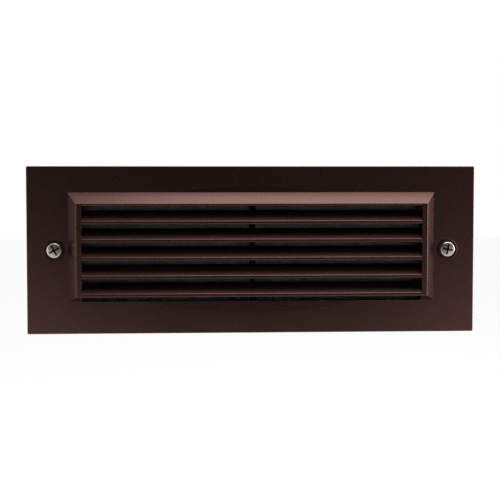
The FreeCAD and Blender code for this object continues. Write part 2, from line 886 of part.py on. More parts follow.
def small_screws(label, places, seat, length, head="m3_head_radius", forwards=True):
    """Small machine screws, one for each place; the heads lie in front of a seat (forwards)."""
    body = new_body(label)
    heads = front_sketch(body, seat)
    shanks = front_sketch(body, seat)
    for across, up in places:
        circle(heads, across, up, head)
        circle(shanks, across, up, "m3_radius")
    pad(body, heads, "m3_head_height", away=not forwards)
    pad(body, shanks, length, away=forwards)


# ---------------------------------------------------------------------------------------------
# Housing
# ---------------------------------------------------------------------------------------------
def housing_box(body):
    """Drafted box, open in front, with rounded corners inside and out."""
    outer = front_sketch(body, "gasket_stand")
    rounded_rectangle(outer, HOUSING_X, HOUSING_Z, "housing_corner_round")
    pad(body, outer, "housing_depth", away=True, draft="-housing_draft")
    chamfer(body, edges_at_depth(body.Tip.Shape, size(HOUSING_BACK)), "housing_back_edge")

    inner = front_sketch(body, "gasket_stand")
    rounded_rectangle(
        inner,
        f"{HOUSING_X} - housing_wall",
        f"{HOUSING_Z} - housing_wall",
        "housing_inner_round",
    )
    pocket(body, inner, "housing_depth - housing_wall", draft="-housing_draft")


def housing_bosses(body):
    """Columns that the faceplate's screws go into, one in the middle of each end wall."""
    columns = front_sketch(body, "gasket_stand")
    circle(columns, f"-{SCREW_X}", "0", "boss_radius")
    circle(columns, SCREW_X, "0", "boss_radius")
    pad(body, columns, "boss_depth", away=True)
    holes = front_sketch(body, "gasket_stand")
    circle(holes, f"-{SCREW_X}", "0", TAPPED_RADIUS)
    circle(holes, SCREW_X, "0", TAPPED_RADIUS)
    pocket(body, holes, "boss_hole_depth")


def housing_pillars(body):
    """Four pillars against the long walls, which carry the reflector tray."""
    feet = front_sketch(body, "pillar_from_wall")
    holes = front_sketch(body, "pillar_from_wall")
    for side in ("-", ""):
        middle = f"{side}{PILLAR_X}"
        for way in ("-", ""):
            rectangle(
                feet,
                f"{middle} - pillar_half_width",
                f"{middle} + pillar_half_width",
                f"{way}({PILLAR_Z} - pillar_half_width)",
                f"{way}({HOUSING_Z} - housing_wall / 2)",
            )
            circle(holes, middle, f"{way}{PILLAR_Z}", "m3_tapped_radius")
    pad(body, feet, f"{FLOOR} - pillar_from_wall + housing_wall / 2", away=True)
    pocket(body, holes, "m3_length")


def housing_feet(body):
    """Low feet on the floor for the driver and the terminal block, and the earth boss."""
    feet = front_sketch(body, SEAT)
    holes = front_sketch(body, SEAT)
    for across, up in FOOT_PLACES:
        circle(feet, across, up, "foot_radius")
        circle(holes, across, up, "m3_tapped_radius")
    pad(body, feet, "foot_height + housing_wall / 2", away=True)
    pocket(body, holes, "m3_short_length - driver_tab_thickness + hole_spare")

    boss = front_sketch(body, GROUND_SEAT)
    circle(boss, "ground_x", GROUND_Z, "ground_boss_radius")
    pad(body, boss, f"{FLOOR} + housing_wall / 2 - ({GROUND_SEAT})", away=True)
    hole = front_sketch(body, GROUND_SEAT)
    circle(hole, "ground_x", GROUND_Z, "m3_tapped_radius")
    pocket(body, hole, "m3_short_length")


def housing_hubs(body):
    """Three threaded conduit hubs: one in each end wall and one in the back."""
    length = "hub_stand + housing_wall + hub_inner_stand"
    side_plane = f"{HOUSING_X} + hub_stand"
    ring = side_sketch(body, side_plane)
    circle(ring, HUB_DEPTH, "0", "hub_radius")
    hub = pad(body, ring, length, away=True)
    mirror(body, [hub], "YZ_Plane")
    back_plane = f"{HOUSING_BACK} + hub_stand"
    back_ring = front_sketch(body, back_plane)
    circle(back_ring, REAR_HUB_X, "0", "hub_radius")
    pad(body, back_ring, length)
    rims = full_circles(
        body.Tip.Shape,
        lambda centre, radius: near(radius, size("hub_radius"))
        and (near(abs(centre.x), size(side_plane)) or near(centre.y, size(back_plane))),
    )
    chamfer(body, rims, "hub_edge")
    mouth = side_sketch(body, side_plane)
    circle(mouth, HUB_DEPTH, "0", "hub_bore_radius")
    bore = pocket(body, mouth, length + " + cut_past")
    mirror(body, [bore], "YZ_Plane")
    back_mouth = front_sketch(body, back_plane)
    circle(back_mouth, REAR_HUB_X, "0", "hub_bore_radius")
    pocket(body, back_mouth, length + " + cut_past", away=True)


def housing_ears(body):
    """Four ears that hold the box against the forms or the brickwork while it is built in."""
    ears = front_sketch(body, "ear_from_wall")
    holes = front_sketch(body, "ear_from_wall")
    for side in ("-", ""):
        for way in ("-", ""):
            rectangle(
                ears,
                f"{side}({HOUSING_X} - housing_wall / 2)",
                f"{side}{EAR_END}",
                f"{way}ear_half_spacing_z - ear_half_width",
                f"{way}ear_half_spacing_z + ear_half_width",
            )
            circle(holes, f"{side}{EAR_HOLE_X}", f"{way}ear_half_spacing_z", "ear_hole_radius")
    pad(body, ears, "ear_thickness", away=True)
    reach = size(EAR_END)
    corners = straight_edges(body.Tip.Shape, DEEP, lambda mid: near(abs(mid.x), reach))
    fillet(body, corners, "ear_corner_round")
    pocket(body, holes, "ear_thickness + cut_past")


def housing():
    """Die cast back box."""
    body = new_body("housing")
    housing_box(body)
    housing_bosses(body)
    housing_pillars(body)
    housing_feet(body)
    housing_hubs(body)
    housing_ears(body)


def hexagon(sketch, flats):
    """A hexagon about the origin with two corners on the X axis."""
    corner = f"{flats} / 2 / cos(30)"
    outline(
        sketch,
        [
            (corner, "0"),
            (f"{corner} / 2", f"{flats} / 2"),
            (f"-{corner} / 2", f"{flats} / 2"),
            (f"-{corner}", "0"),
            (f"-{corner} / 2", f"-{flats} / 2"),
            (f"{corner} / 2", f"-{flats} / 2"),
        ],
    )


def place_body(body, turn, place):
    """Turn a body that was drawn about the origin, then move it by formulas."""
    body.Placement = FreeCAD.Placement(FreeCAD.Vector(0, 0, 0), turn)
    for axis, text in place.items():
        bind(body, "Placement.Base." + axis, text)


def conduit_plug(label, place, turn):
    """Threaded closing plug with a hexagon socket, drawn with its outer face at the origin."""
    body = new_body(label)
    face = front_sketch(body, "0")
    circle(face, "0", "0", "hub_bore_radius - plug_clearance")
    pad(body, face, "plug_length")
    chamfer(body, full_circles(body.Tip.Shape, lambda centre, radius: True), "plug_edge")
    socket = front_sketch(body, "0")
    hexagon(socket, "plug_socket_flats")
    pocket(body, socket, "plug_socket_depth", away=True)
    place_body(body, turn, place)


def reflector_tray():
    """Formed pan: a flange on the pillars, sloping walls and a flat back for the board."""
    body = new_body("reflector_tray")
    flange = front_sketch(body, TRAY_FRONT)
    centred_rectangle(flange, TRAY_FLANGE_X, TRAY_FLANGE_Z)
    pad(body, flange, "tray_sheet", away=True)
    corners = straight_edges(body.Tip.Shape, DEEP, lambda mid: True)
    fillet(body, corners, "tray_corner_round")

    mouth = front_sketch(body, TRAY_FRONT)
    centred_rectangle(
        mouth, f"{TRAY_MOUTH_X} + tray_sheet", f"{TRAY_MOUTH_Z} + tray_sheet"
    )
    back = front_sketch(body, f"{TRAY_FLOOR} + tray_sheet")
    centred_rectangle(back, f"{TRAY_BACK_X} + tray_sheet", f"{TRAY_BACK_Z} + tray_sheet")
    loft(body, mouth, back)

    inner_mouth = front_sketch(body, TRAY_FRONT)
    centred_rectangle(inner_mouth, TRAY_MOUTH_X, TRAY_MOUTH_Z)
    inner_back = front_sketch(body, TRAY_FLOOR)
    centred_rectangle(inner_back, TRAY_BACK_X, TRAY_BACK_Z)
    loft(body, inner_mouth, inner_back, kind="PartDesign::SubtractiveLoft")

    flange_holes = front_sketch(body, TRAY_FRONT)
    for across, up in PILLARS:
        circle(flange_holes, across, up, "m3_clear_radius")
    pocket(body, flange_holes, "tray_sheet + cut_past")
    back_holes = front_sketch(body, TRAY_FLOOR)
    for across, up in BOARD_HOLES:
        circle(back_holes, across, up, "m3_tapped_radius")
    circle(back_holes, GROMMET_X, "0", "grommet_neck_radius + grommet_clearance")
    pocket(body, back_holes, "tray_sheet + cut_past")


def thermal_pad():
    """Soft pad behind the board."""
    body = new_body("thermal_pad")
    face = front_sketch(body, BOARD_BACK)
    centred_rectangle(face, f"{BOARD_X} - pad_inset", f"{BOARD_Z} - pad_inset")
    pad(body, face, "pad_thickness", away=True)
    board_holes(body, BOARD_BACK, "pad_thickness + cut_past")


def board_holes(body, depth, length):
    """Clearance holes of the four board screws."""
    holes = front_sketch(body, depth)
    for across, up in BOARD_HOLES:
        circle(holes, across, up, "m3_clear_radius")
    pocket(body, holes, length)


def led_board():
    """Metal core board."""
    body = new_body("led_board")
    face = front_sketch(body, BOARD_FRONT)
    centred_rectangle(face, BOARD_X, BOARD_Z)
    pad(body, face, "board_thickness", away=True)
    corners = straight_edges(body.Tip.Shape, DEEP, lambda mid: True)
    fillet(body, corners, "tray_corner_round")
    board_holes(body, BOARD_FRONT, "board_thickness + cut_past")


def led_chips():
    """Two rows of LED packages on the board's front."""
    body = new_body("led_chips")
    face = front_sketch(body, BOARD_FRONT)
    first = f"-{CHIP_PITCH} * (chip_columns - 1) / 2"
    for up in ("-chip_row_half_gap", "chip_row_half_gap"):
        centred_rectangle(face, "chip_length / 2", "chip_height / 2", first, up)
    chips = pad(body, face, "chip_thickness")
    repeat(body, [chips], "X_Axis", "chip_columns", CHIP_PITCH)


def tray_grommet():
    """Rubber grommet: two flanges and a neck in the tray's back."""
    body = new_body("tray_grommet")
    section = sketch_on(body, "XY_Plane")
    front = f"{TRAY_FLOOR} - grommet_flange"
    back = f"{TRAY_FLOOR} + tray_sheet + grommet_flange"
    outline(
        section,
        [
            ("grommet_bore_radius", front),
            ("grommet_flange_radius", front),
            ("grommet_flange_radius", TRAY_FLOOR),
            ("grommet_neck_radius", TRAY_FLOOR),
            ("grommet_neck_radius", f"{TRAY_FLOOR} + tray_sheet"),
            ("grommet_flange_radius", f"{TRAY_FLOOR} + tray_sheet"),
            ("grommet_flange_radius", back),
            ("grommet_bore_radius", back),
        ],
    )
    revolve(body, section)
    bind(body, "Placement.Base.x", GROMMET_X)


# ---------------------------------------------------------------------------------------------
# Driver, terminal block, earth
# ---------------------------------------------------------------------------------------------
def driver_case():
    """Open plastic case with a tab at each end."""
    body = new_body("driver_case")
    face = front_sketch(body, DRIVER_FRONT)
    centred_rectangle(face, "driver_length / 2", "driver_height / 2", "driver_centre_x")
    pad(body, face, "driver_depth", away=True)
    fillet(body, straight_edges(body.Tip.Shape, DEEP, lambda mid: True), "driver_corner_round")
    tabs = front_sketch(body, f"{SEAT} - driver_tab_thickness")
    centred_rectangle(
        tabs,
        "driver_length / 2 + driver_tab_length",
        "driver_tab_half_height",
        "driver_centre_x",
    )
    pad(body, tabs, "driver_tab_thickness", away=True)
    well = front_sketch(body, DRIVER_FRONT)
    centred_rectangle(
        well, "driver_length / 2 - driver_wall", "driver_height / 2 - driver_wall", "driver_centre_x"
    )
    pocket(body, well, "driver_depth - driver_tab_thickness")
    holes = front_sketch(body, f"{SEAT} - driver_tab_thickness")
    circle(holes, f"driver_centre_x - ({DRIVER_HOLE_X})", "0", "m3_clear_radius")
    circle(holes, f"driver_centre_x + {DRIVER_HOLE_X}", "0", "m3_clear_radius")
    pocket(body, holes, "driver_tab_thickness + cut_past")


def driver_potting():
    """Compound that fills the case a little below its rim."""
    body = new_body("driver_potting")
    fill = front_sketch(body, f"{DRIVER_FRONT} + potting_recess")
    centred_rectangle(
        fill, "driver_length / 2 - driver_wall", "driver_height / 2 - driver_wall", "driver_centre_x"
    )
    pad(body, fill, "driver_depth - driver_tab_thickness - potting_recess", away=True)


def pole_height(number):
    """Height of one pole of the terminal block as a formula."""
    return f"(({number} - (pole_count - 1) / 2) * pole_pitch)"


def terminal_block():
    """Moulded block: a bore along X for each pole, screw wells in front, two fixing holes."""
    body = new_body("terminal_block")
    face = front_sketch(body, BLOCK_FRONT)
    centred_rectangle(face, "block_width / 2", "block_height / 2", "block_centre_x")
    pad(body, face, "block_depth", away=True)
    every = straight_edges(body.Tip.Shape, DEEP, lambda mid: True)
    chamfer(body, every, "block_edge")
    bores = side_sketch(body, "block_centre_x + block_width / 2")
    wells = front_sketch(body, BLOCK_FRONT)
    for number in range(int(size("pole_count"))):
        up = pole_height(number)
        circle(bores, CLAMP_DEPTH, up, "clamp_radius + clamp_clearance")
        for side in ("-", "+"):
            circle(wells, f"block_centre_x {side} well_half_spacing", up, "well_radius")
    pocket(body, bores, "block_width + cut_past")
    pocket(body, wells, f"{CLAMP_DEPTH} - ({BLOCK_FRONT})")
    seats = front_sketch(body, BLOCK_FRONT)
    holes = front_sketch(body, BLOCK_FRONT)
    for across, up in FOOT_PLACES[2:]:
        circle(seats, across, up, "m3_head_radius + head_clearance")
        circle(holes, across, up, "m3_clear_radius")
    pocket(body, seats, "block_depth - block_fixing_floor")
    pocket(body, holes, "block_depth + cut_past")


def terminal_clamps():
    """Brass tube of each pole, which a conductor goes into from each end."""
    body = new_body("terminal_clamps")
    rings = side_sketch(body, "block_centre_x - block_width / 2 + clamp_inset")
    for number in range(int(size("pole_count"))):
        circle(rings, CLAMP_DEPTH, pole_height(number), "clamp_radius")
        circle(rings, CLAMP_DEPTH, pole_height(number), "clamp_bore_radius")
    pad(body, rings, "block_width - 2 * clamp_inset")


def terminal_screws():
    """Slotted clamp screws that stand in the wells and press on the tubes."""
    body = new_body("terminal_screws")
    heads = front_sketch(body, f"{BLOCK_FRONT} + clamp_screw_recess")
    slots = front_sketch(body, f"{BLOCK_FRONT} + clamp_screw_recess")
    for number in range(int(size("pole_count"))):
        up = pole_height(number)
        for side in ("-", "+"):
            across = f"block_centre_x {side} well_half_spacing"
            circle(heads, across, up, "clamp_screw_radius")
            centred_rectangle(
                slots, "clamp_screw_radius + hole_spare / 2", "clamp_screw_slot / 2", across, up
            )
    reach = f"{CLAMP_DEPTH} - clamp_radius - ({BLOCK_FRONT}) - clamp_screw_recess"
    pad(body, heads, reach, away=True)
    pocket(body, slots, "clamp_screw_slot * 1.5")


def ground_ring():
    """Ring terminal: a flat eye under the screw and a barrel crimped on the lead."""
    body = new_body("ground_ring")
    eye = front_sketch(body, f"{GROUND_SEAT} - ring_thickness")
    circle(eye, "ground_x", GROUND_Z, "ring_radius")
    pad(body, eye, "ring_thickness", away=True)
    tongue = front_sketch(body, f"{GROUND_SEAT} - ring_thickness")
    rectangle(
        tongue,
        "ground_x",
        "ground_x + ground_boss_radius + barrel_radius",
        f"{GROUND_Z} - barrel_radius * 0.8",
        f"{GROUND_Z} + barrel_radius * 0.8",
    )
    pad(body, tongue, "ring_thickness", away=True)
    hole = front_sketch(body, f"{GROUND_SEAT} - ring_thickness")
    circle(hole, "ground_x", GROUND_Z, "m3_clear_radius")
    pocket(body, hole, "ring_thickness + cut_past")
    barrel = side_sketch(body, BARREL_START)
    circle(barrel, CLAMP_DEPTH, GROUND_Z, "barrel_radius")
    pad(body, barrel, "barrel_length")
    mouth = side_sketch(body, f"{BARREL_START} + barrel_length")
    circle(mouth, CLAMP_DEPTH, GROUND_Z, "lead_radius + lead_fit")
    pocket(body, mouth, "barrel_length / 2")


# ---------------------------------------------------------------------------------------------
# Leads
# ---------------------------------------------------------------------------------------------
def rounded_path(points):
    """Straight runs joined by tangent arcs, each as large as its two runs allow."""
    edges = []
    radii = []
    start = points[0]
    for before, corner, after in zip(points, points[1:], points[2:]):
        arriving = corner - before
        leaving = after - corner
        turn = arriving.getAngle(leaving)
        reach = 0.45 * min(arriving.Length, leaving.Length)
        radii.append(reach / math.tan(turn / 2))
        inward = FreeCAD.Vector(arriving).normalize()
        outward = FreeCAD.Vector(leaving).normalize()
        entry = corner - inward * reach
        leave = corner + outward * reach
        bisector = (outward - inward).normalize()
        to_centre = radii[-1] / math.cos(turn / 2)
        middle = corner + bisector * (to_centre - radii[-1])
        edges.append(Part.LineSegment(start, entry).toShape())
        edges.append(Part.Arc(entry, middle, leave).toShape())
        start = leave
    edges.append(Part.LineSegment(start, points[-1]).toShape())
    return Part.Wire(edges), radii


def lead(label, places):
    """An insulated lead along points that are given as formulas."""
    points = [FreeCAD.Vector(*(size(text) for text in place)) for place in places]
    path, radii = rounded_path(points)
    heading = points[1] - points[0]
    radius = size("lead_radius")
    section = Part.makeCircle(radius, points[0], heading).discretize(Number=LEAD_SIDES + 1)
    tube = path.makePipeShell([Part.makePolygon(section)], True, False)
    wanted = path.Length * LEAD_SIDES / 2 * math.sin(2 * math.pi / LEAD_SIDES) * radius**2
    print(f"{label}: length {path.Length:.1f}, tightest bend {min(radii):.1f}")
    if not near(tube.Volume / wanted, 1.0, 0.01):
        raise RuntimeError(label + ": the swept tube is not whole")
    piece = doc.addObject("Part::Feature", label)
    piece.Label = label
    piece.Shape = tube
    piece.Placement = FreeCAD.Placement()
    PIECES.append(piece)


def led_lead(label, way):
    """From a solder pad on the board, through the grommet, to the driver's left end."""
    lift = f"{BOARD_FRONT} - led_lead_loop"
    through = f"{way}(lead_radius + lead_clearance)"
    halfway = f"({GROMMET_X} - {LED_PAD_X}) / 2"
    behind = f"{TRAY_FLOOR} + tray_sheet + led_lead_drop"
    entry = "driver_centre_x - driver_length / 2 + led_lead_entry"
    lead(
        label,
        [
            (f"-{LED_PAD_X}", BOARD_FRONT, f"{way}led_pad_z"),
            (f"-{LED_PAD_X}", lift, f"{way}led_pad_z"),
            (halfway, f"{lift} - 2 * lead_wander", f"{way}led_pad_z * led_lead_taper"),
            (GROMMET_X, f"{lift} + lead_wander", through),
            (GROMMET_X, f"{behind} - 2 * lead_wander", through),
            (f"{GROMMET_X} + led_lead_bend", f"{behind} + lead_bow / 2", f"{way}2 * lead_wander"),
            (f"({GROMMET_X} + {entry}) / 2", f"{behind} - lead_wander / 2", f"{way}4 * lead_wander"),
            (entry, behind, f"{way}led_lead_entry_z"),
            (entry, f"{DRIVER_FRONT} + potting_recess", f"{way}led_lead_entry_z"),
        ],
    )


def driver_lead(label, pole):
    """From the driver's right end into a pole of the terminal block."""
    up = pole_height(pole)
    start = "driver_centre_x + driver_length / 2 - driver_lead_entry"
    gap_middle = "driver_centre_x + driver_length / 2 + driver_tab_length"
    crest = f"{DRIVER_FRONT} - driver_lead_loop"
    lead(
        label,
        [
            (start, f"{DRIVER_FRONT} + potting_recess", up),
            (start, crest, up),
            (f"({start} + {gap_middle}) / 2", f"{crest} - lead_bow", f"{up} + lead_wander"),
            (gap_middle, f"{DRIVER_FRONT} - lead_bow", f"{up} + lead_bow / 2"),
            (f"{gap_middle} + lead_wander", f"{DRIVER_FRONT} + driver_depth / 3", up),
            (f"{gap_middle} + lead_bow", CLAMP_DEPTH, up),
            ("block_centre_x - well_half_spacing", CLAMP_DEPTH, up),
        ],
    )


def ground_lead():
    """From the ring terminal's barrel into the lowest pole of the terminal block."""
    start = f"{BARREL_START} + barrel_length / 2"
    block_side = "block_centre_x - block_width / 2"
    up = pole_height(0)
    lead(
        "ground_lead",
        [
            (start, CLAMP_DEPTH, GROUND_Z),
            (f"{start} + barrel_length + lead_bow", CLAMP_DEPTH, GROUND_Z),
            (f"{block_side} - 3 * lead_bow", f"{CLAMP_DEPTH} - lead_bow", f"({GROUND_Z} + {up}) / 2"),
            (f"{block_side} - lead_bow", CLAMP_DEPTH, up),
            ("block_centre_x - well_half_spacing", CLAMP_DEPTH, up),
        ],
    )


# ---------------------------------------------------------------------------------------------
# Build, check and write
# ---------------------------------------------------------------------------------------------
def build():
    """Make every piece."""
    faceplate()
    faceplate_gasket()
    lens_gasket()
    lens()
    lens_clips()
    clip_seat = f"{LENS_BACK} + clip_thickness"
    small_screws("lens_clip_screws", POSTS, clip_seat, "m3_short_length", forwards=False)
    faceplate_screw("left_faceplate_screw", "-", "left_recess_turn")
    faceplate_screw("right_faceplate_screw", "", "right_recess_turn")
    screw_washer("left_screw_washer", "-")
    screw_washer("right_screw_washer", "")
    housing()
    conduit_plug(
        "conduit_plug_left",
        {"x": f"-({HOUSING_X} + hub_stand - plug_inset)", "y": HUB_DEPTH},
        FreeCAD.Rotation(UP, 90),
    )
    conduit_plug(
        "conduit_plug_rear",
        {"x": REAR_HUB_X, "y": f"{HOUSING_BACK} + hub_stand - plug_inset"},
        FreeCAD.Rotation(),
    )
    reflector_tray()
    small_screws("tray_screws", PILLARS, TRAY_FRONT, "m3_length")
    thermal_pad()
    led_board()
    led_chips()
    small_screws("board_screws", BOARD_HOLES, BOARD_FRONT, "m3_short_length")
    tray_grommet()
    driver_case()
    driver_potting()
    small_screws("driver_screws", FOOT_PLACES[:2], f"{SEAT} - driver_tab_thickness", "m3_short_length")
    terminal_block()
    small_screws("block_screws", FOOT_PLACES[2:], f"{SEAT} - block_fixing_floor", "m3_short_length")
    terminal_clamps()
    terminal_screws()
    small_screws(
        "ground_screw",
        [("ground_x", GROUND_Z)],
        f"{GROUND_SEAT} - ring_thickness",
        "m3_short_length",
        head="ground_head_radius",
    )
    ground_ring()
    led_lead("led_lead_red", "")
    led_lead("led_lead_black", "-")
    driver_lead("driver_lead_black", 2)
    driver_lead("driver_lead_white", 1)
    ground_lead()


def check():
    """Stop if any object failed or any piece has no valid solid."""
    for thing in doc.Objects:
        if "Invalid" in thing.State or "Error" in thing.State:
            raise RuntimeError(f"{thing.Name} failed: {thing.State}")
    for piece in PIECES:
        if piece.Shape.isNull() or not piece.Shape.isValid() or not piece.Shape.Solids:
            raise RuntimeError(f"{piece.Label} has no valid solid")


def write():
    """One STEP file for each piece."""
    os.makedirs("parts", exist_ok=True)
    for piece in PIECES:
        piece.Shape.exportStep(f"parts/{piece.Label}.step")
        solids = len(piece.Shape.Solids)
        print(f"{piece.Label}: {solids} solid(s), {piece.Shape.Volume:.0f} mm3")


build()
doc.recompute()
check()
write()
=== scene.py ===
# %% [markdown]
# # A louvred step light, dressed for its portrait
# The solids come from a CAD model and already have their true sizes and places. This script gives
# them their looks: smooth shading, real finishes, threaded screws, a studio and a camera.
# Everything is in metres. X runs to the right, Y into the wall and Z up.

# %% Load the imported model
import bmesh
import bpy
import json
import numpy as np
from math import pi, radians, tau
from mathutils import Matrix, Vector


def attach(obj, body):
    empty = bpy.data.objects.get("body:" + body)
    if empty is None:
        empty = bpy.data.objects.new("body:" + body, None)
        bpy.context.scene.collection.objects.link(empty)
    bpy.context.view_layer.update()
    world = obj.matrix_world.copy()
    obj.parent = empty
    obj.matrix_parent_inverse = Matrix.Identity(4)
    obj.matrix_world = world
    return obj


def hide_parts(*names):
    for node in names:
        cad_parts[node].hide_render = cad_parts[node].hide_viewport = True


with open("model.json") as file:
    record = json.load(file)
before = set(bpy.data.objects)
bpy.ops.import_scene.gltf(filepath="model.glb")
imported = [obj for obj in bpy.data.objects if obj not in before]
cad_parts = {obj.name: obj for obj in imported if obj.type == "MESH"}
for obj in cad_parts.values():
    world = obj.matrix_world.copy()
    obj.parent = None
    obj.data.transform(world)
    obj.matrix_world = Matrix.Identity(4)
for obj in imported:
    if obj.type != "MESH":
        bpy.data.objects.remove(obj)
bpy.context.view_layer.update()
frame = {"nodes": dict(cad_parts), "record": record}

# %% [markdown]
# ## Small helpers
# Blender's shaders work in linear light, while colours are picked on screens as sRGB hex values,
# so one function turns the one into the other. A second one turns millimetres into metres, since
# every size of the real light is easier to read in millimetres.

# %% Colour and length helpers
def linear(hex_colour, alpha=1.0):
    """Linear RGBA of an sRGB hex colour: a straight line where it is dark, a power elsewhere."""
    screen = np.array([int(hex_colour[i : i + 2], 16) / 255 for i in (1, 3, 5)])
    low, high = screen / 12.92, ((screen + 0.055) / 1.055) ** 2.4
    return (*np.where(screen <= 0.04045, low, high), alpha)


def mm(length):
    """Millimetres as metres."""
    return np.asarray(length) / 1000 if np.ndim(length) else length / 1000


print("a mid grey in linear light:", [round(v, 3) for v in linear("#808080")])

# %% [markdown]
# Materials are small graphs of nodes. The first helper adds one node of any kind: its settings by
# name, and for each input either a plain value or another node's output, which it links. The other
# two open and close a material, because nearly every graph here starts from the Object coordinates
# and ends in the Principled shader. Object coordinates are real places in metres, so a pattern
# keeps its true size on every piece.

# %% Node helpers
WHITE = (1, 1, 1, 1)
finishes = {}  # the material of each finish, by the finish's name


def add_node(tree, kind, inputs=None, **settings):
    """A new node of that kind, with its settings, input values and links."""
    node = tree.nodes.new(kind)
    for name, value in settings.items():
        setattr(node, name, value)
    for socket, value in (inputs or {}).items():
        if isinstance(value, bpy.types.NodeSocket):
            tree.links.new(value, node.inputs[socket])
        else:
            node.inputs[socket].default_value = value
    return node


def start_finish(finish, name):
    """An empty material kept under that finish, its tree, and the Object coordinates it follows."""
    material = bpy.data.materials.new(name)
    material.use_nodes = True
    material.node_tree.nodes.clear()
    finishes[finish] = material
    place = add_node(material.node_tree, "ShaderNodeTexCoord").outputs["Object"]
    return material.node_tree, place


def end_finish(tree, surface):
    """The Principled shader with these inputs, joined to the material's output."""
    shader = add_node(tree, "ShaderNodeBsdfPrincipled", surface)
    add_node(tree, "ShaderNodeOutputMaterial", {"Surface": shader.outputs["BSDF"]})


print("node helpers ready")

# %% [markdown]
# ## Finishes
# ** Bronze powder coat** is sprayed dry onto the die cast aluminium and baked. The powder flows
# into a satin skin with a faint orange peel about a millimetre across, and its mica makes it partly
# metallic. It could be one flat brown, but the peel is what breaks up its highlights. Deep in the
# slots between the louvres the coat is painted nearly black, as painted shade for the shadow there.
# The shader finds the slots by place: inside an oval as large as the grille, and below its front.

# %% Bronze powder coat, its colour and painted slot shade
PEEL_SIZE, MICA_SIZE, CLOUD_SIZE = mm(1.1), mm(0.25), mm(35)
# the last of these colours is the near black of the painted shade in the slots
POWDER_DARK, POWDER_LIGHT, POWDER_SHADE = linear("#533833"), linear("#5C3F3A"), linear("#0B0908")
SLOT_MOUTH, SLOT_DARK = mm(-3.4), mm(-2.6)  # depths between which the painted slot shade fades in
GRILLE_HALF = (mm(96), mm(33))  # half width and half height of the oval that holds the slots

tree, place = start_finish("bronze_powder_coat", "bronze_powder_coat_satin")
peel, mica, clouds = (
    add_node(tree, "ShaderNodeTexNoise", {"Vector": place, "Scale": 1 / size}).outputs["Fac"]
    for size in (PEEL_SIZE, MICA_SIZE, CLOUD_SIZE)
)
powder = add_node(
    tree,
    "ShaderNodeMix",
    {"Factor": clouds, "A": POWDER_DARK, "B": POWDER_LIGHT},
    data_type="RGBA",
)
depth = add_node(tree, "ShaderNodeSeparateXYZ", {"Vector": place}).outputs["Y"]
slot_shade_ramp = add_node(
    tree, "ShaderNodeMapRange", {"Value": depth, "From Min": SLOT_MOUTH, "From Max": SLOT_DARK}
)
oval = add_node(
    tree,
    "ShaderNodeVectorMath",
    {0: place, 1: (1 / GRILLE_HALF[0], 0, 1 / GRILLE_HALF[1])},
    operation="MULTIPLY",
)
spot = add_node(tree, "ShaderNodeVectorMath", {0: oval.outputs[0]}, operation="LENGTH")
inside = add_node(tree, "ShaderNodeMath", {0: spot.outputs["Value"], 1: 1.0}, operation="LESS_THAN")
# painted shade mask: full deep in the slots and inside the oval
hidden = add_node(
    tree,
    "ShaderNodeMath",
    {0: slot_shade_ramp.outputs["Result"], 1: inside.outputs[0]},
    operation="MULTIPLY",
)
# painted shade: the coat's colour turns nearly black deep in the slots
coat = add_node(
    tree,
    "ShaderNodeMix",
    {"Factor": hidden.outputs[0], "A": powder.outputs["Result"], "B": POWDER_SHADE},
    data_type="RGBA",
)
print("powder colour:", len(tree.nodes), "nodes")

# %% [markdown]
# The mica flakes vary how metallic the coat is, and the peel its gloss and relief. On the slanted
# tops of the blades the powder lands dry, so they are duller than the front. A face's normal tells
# how far it looks up, and that is how the shader knows a blade's top.

# %% Bronze powder coat, its gloss and relief
FLAKES, SHEEN = (0.74, 0.88), (0.25, 0.31)  # ranges of metallic and of roughness
LOOKS_UP = (0.79, 0.84)  # upward part of the normal where the dry spray begins and is full
DRY_ROUGHNESS = 0.27  # how much rougher the dry spray is
PEEL_HEIGHT = mm(0.010)

flakes = add_node(
    tree, "ShaderNodeMapRange", {"Value": mica, "To Min": FLAKES[0], "To Max": FLAKES[1]}
)
sheen = add_node(
    tree, "ShaderNodeMapRange", {"Value": peel, "To Min": SHEEN[0], "To Max": SHEEN[1]}
)
normal = add_node(tree, "ShaderNodeNewGeometry").outputs["Normal"]
upward = add_node(tree, "ShaderNodeSeparateXYZ", {"Vector": normal}).outputs["Z"]
dry_spray = add_node(
    tree,
    "ShaderNodeMapRange",
    {
        "Value": upward,
        "From Min": LOOKS_UP[0],
        "From Max": LOOKS_UP[1],
        "To Min": 0,
        "To Max": DRY_ROUGHNESS,
    },
)
gloss = add_node(
    tree,
    "ShaderNodeMath",
    {0: sheen.outputs["Result"], 1: dry_spray.outputs["Result"]},
    operation="ADD",
)
relief = add_node(tree, "ShaderNodeBump", {"Height": peel, "Distance": PEEL_HEIGHT})
end_finish(
    tree,
    {
        "Base Color": coat.outputs["Result"],
        "Metallic": flakes.outputs["Result"],
        "Roughness": gloss.outputs[0],
        "Specular IOR Level": 0.6,
        "Normal": relief.outputs["Normal"],
    },
)
print(finishes["bronze_powder_coat"].name, len(tree.nodes), "nodes")

# %% [markdown]
# Most other finishes are one substance with a skin: its colour drifts a little over centimetres,
# and a fine grain changes the gloss and stands up by hundredths of a millimetre. One recipe with
# two noises serves them all. The real sizes of drift and grain are what tells them apart.

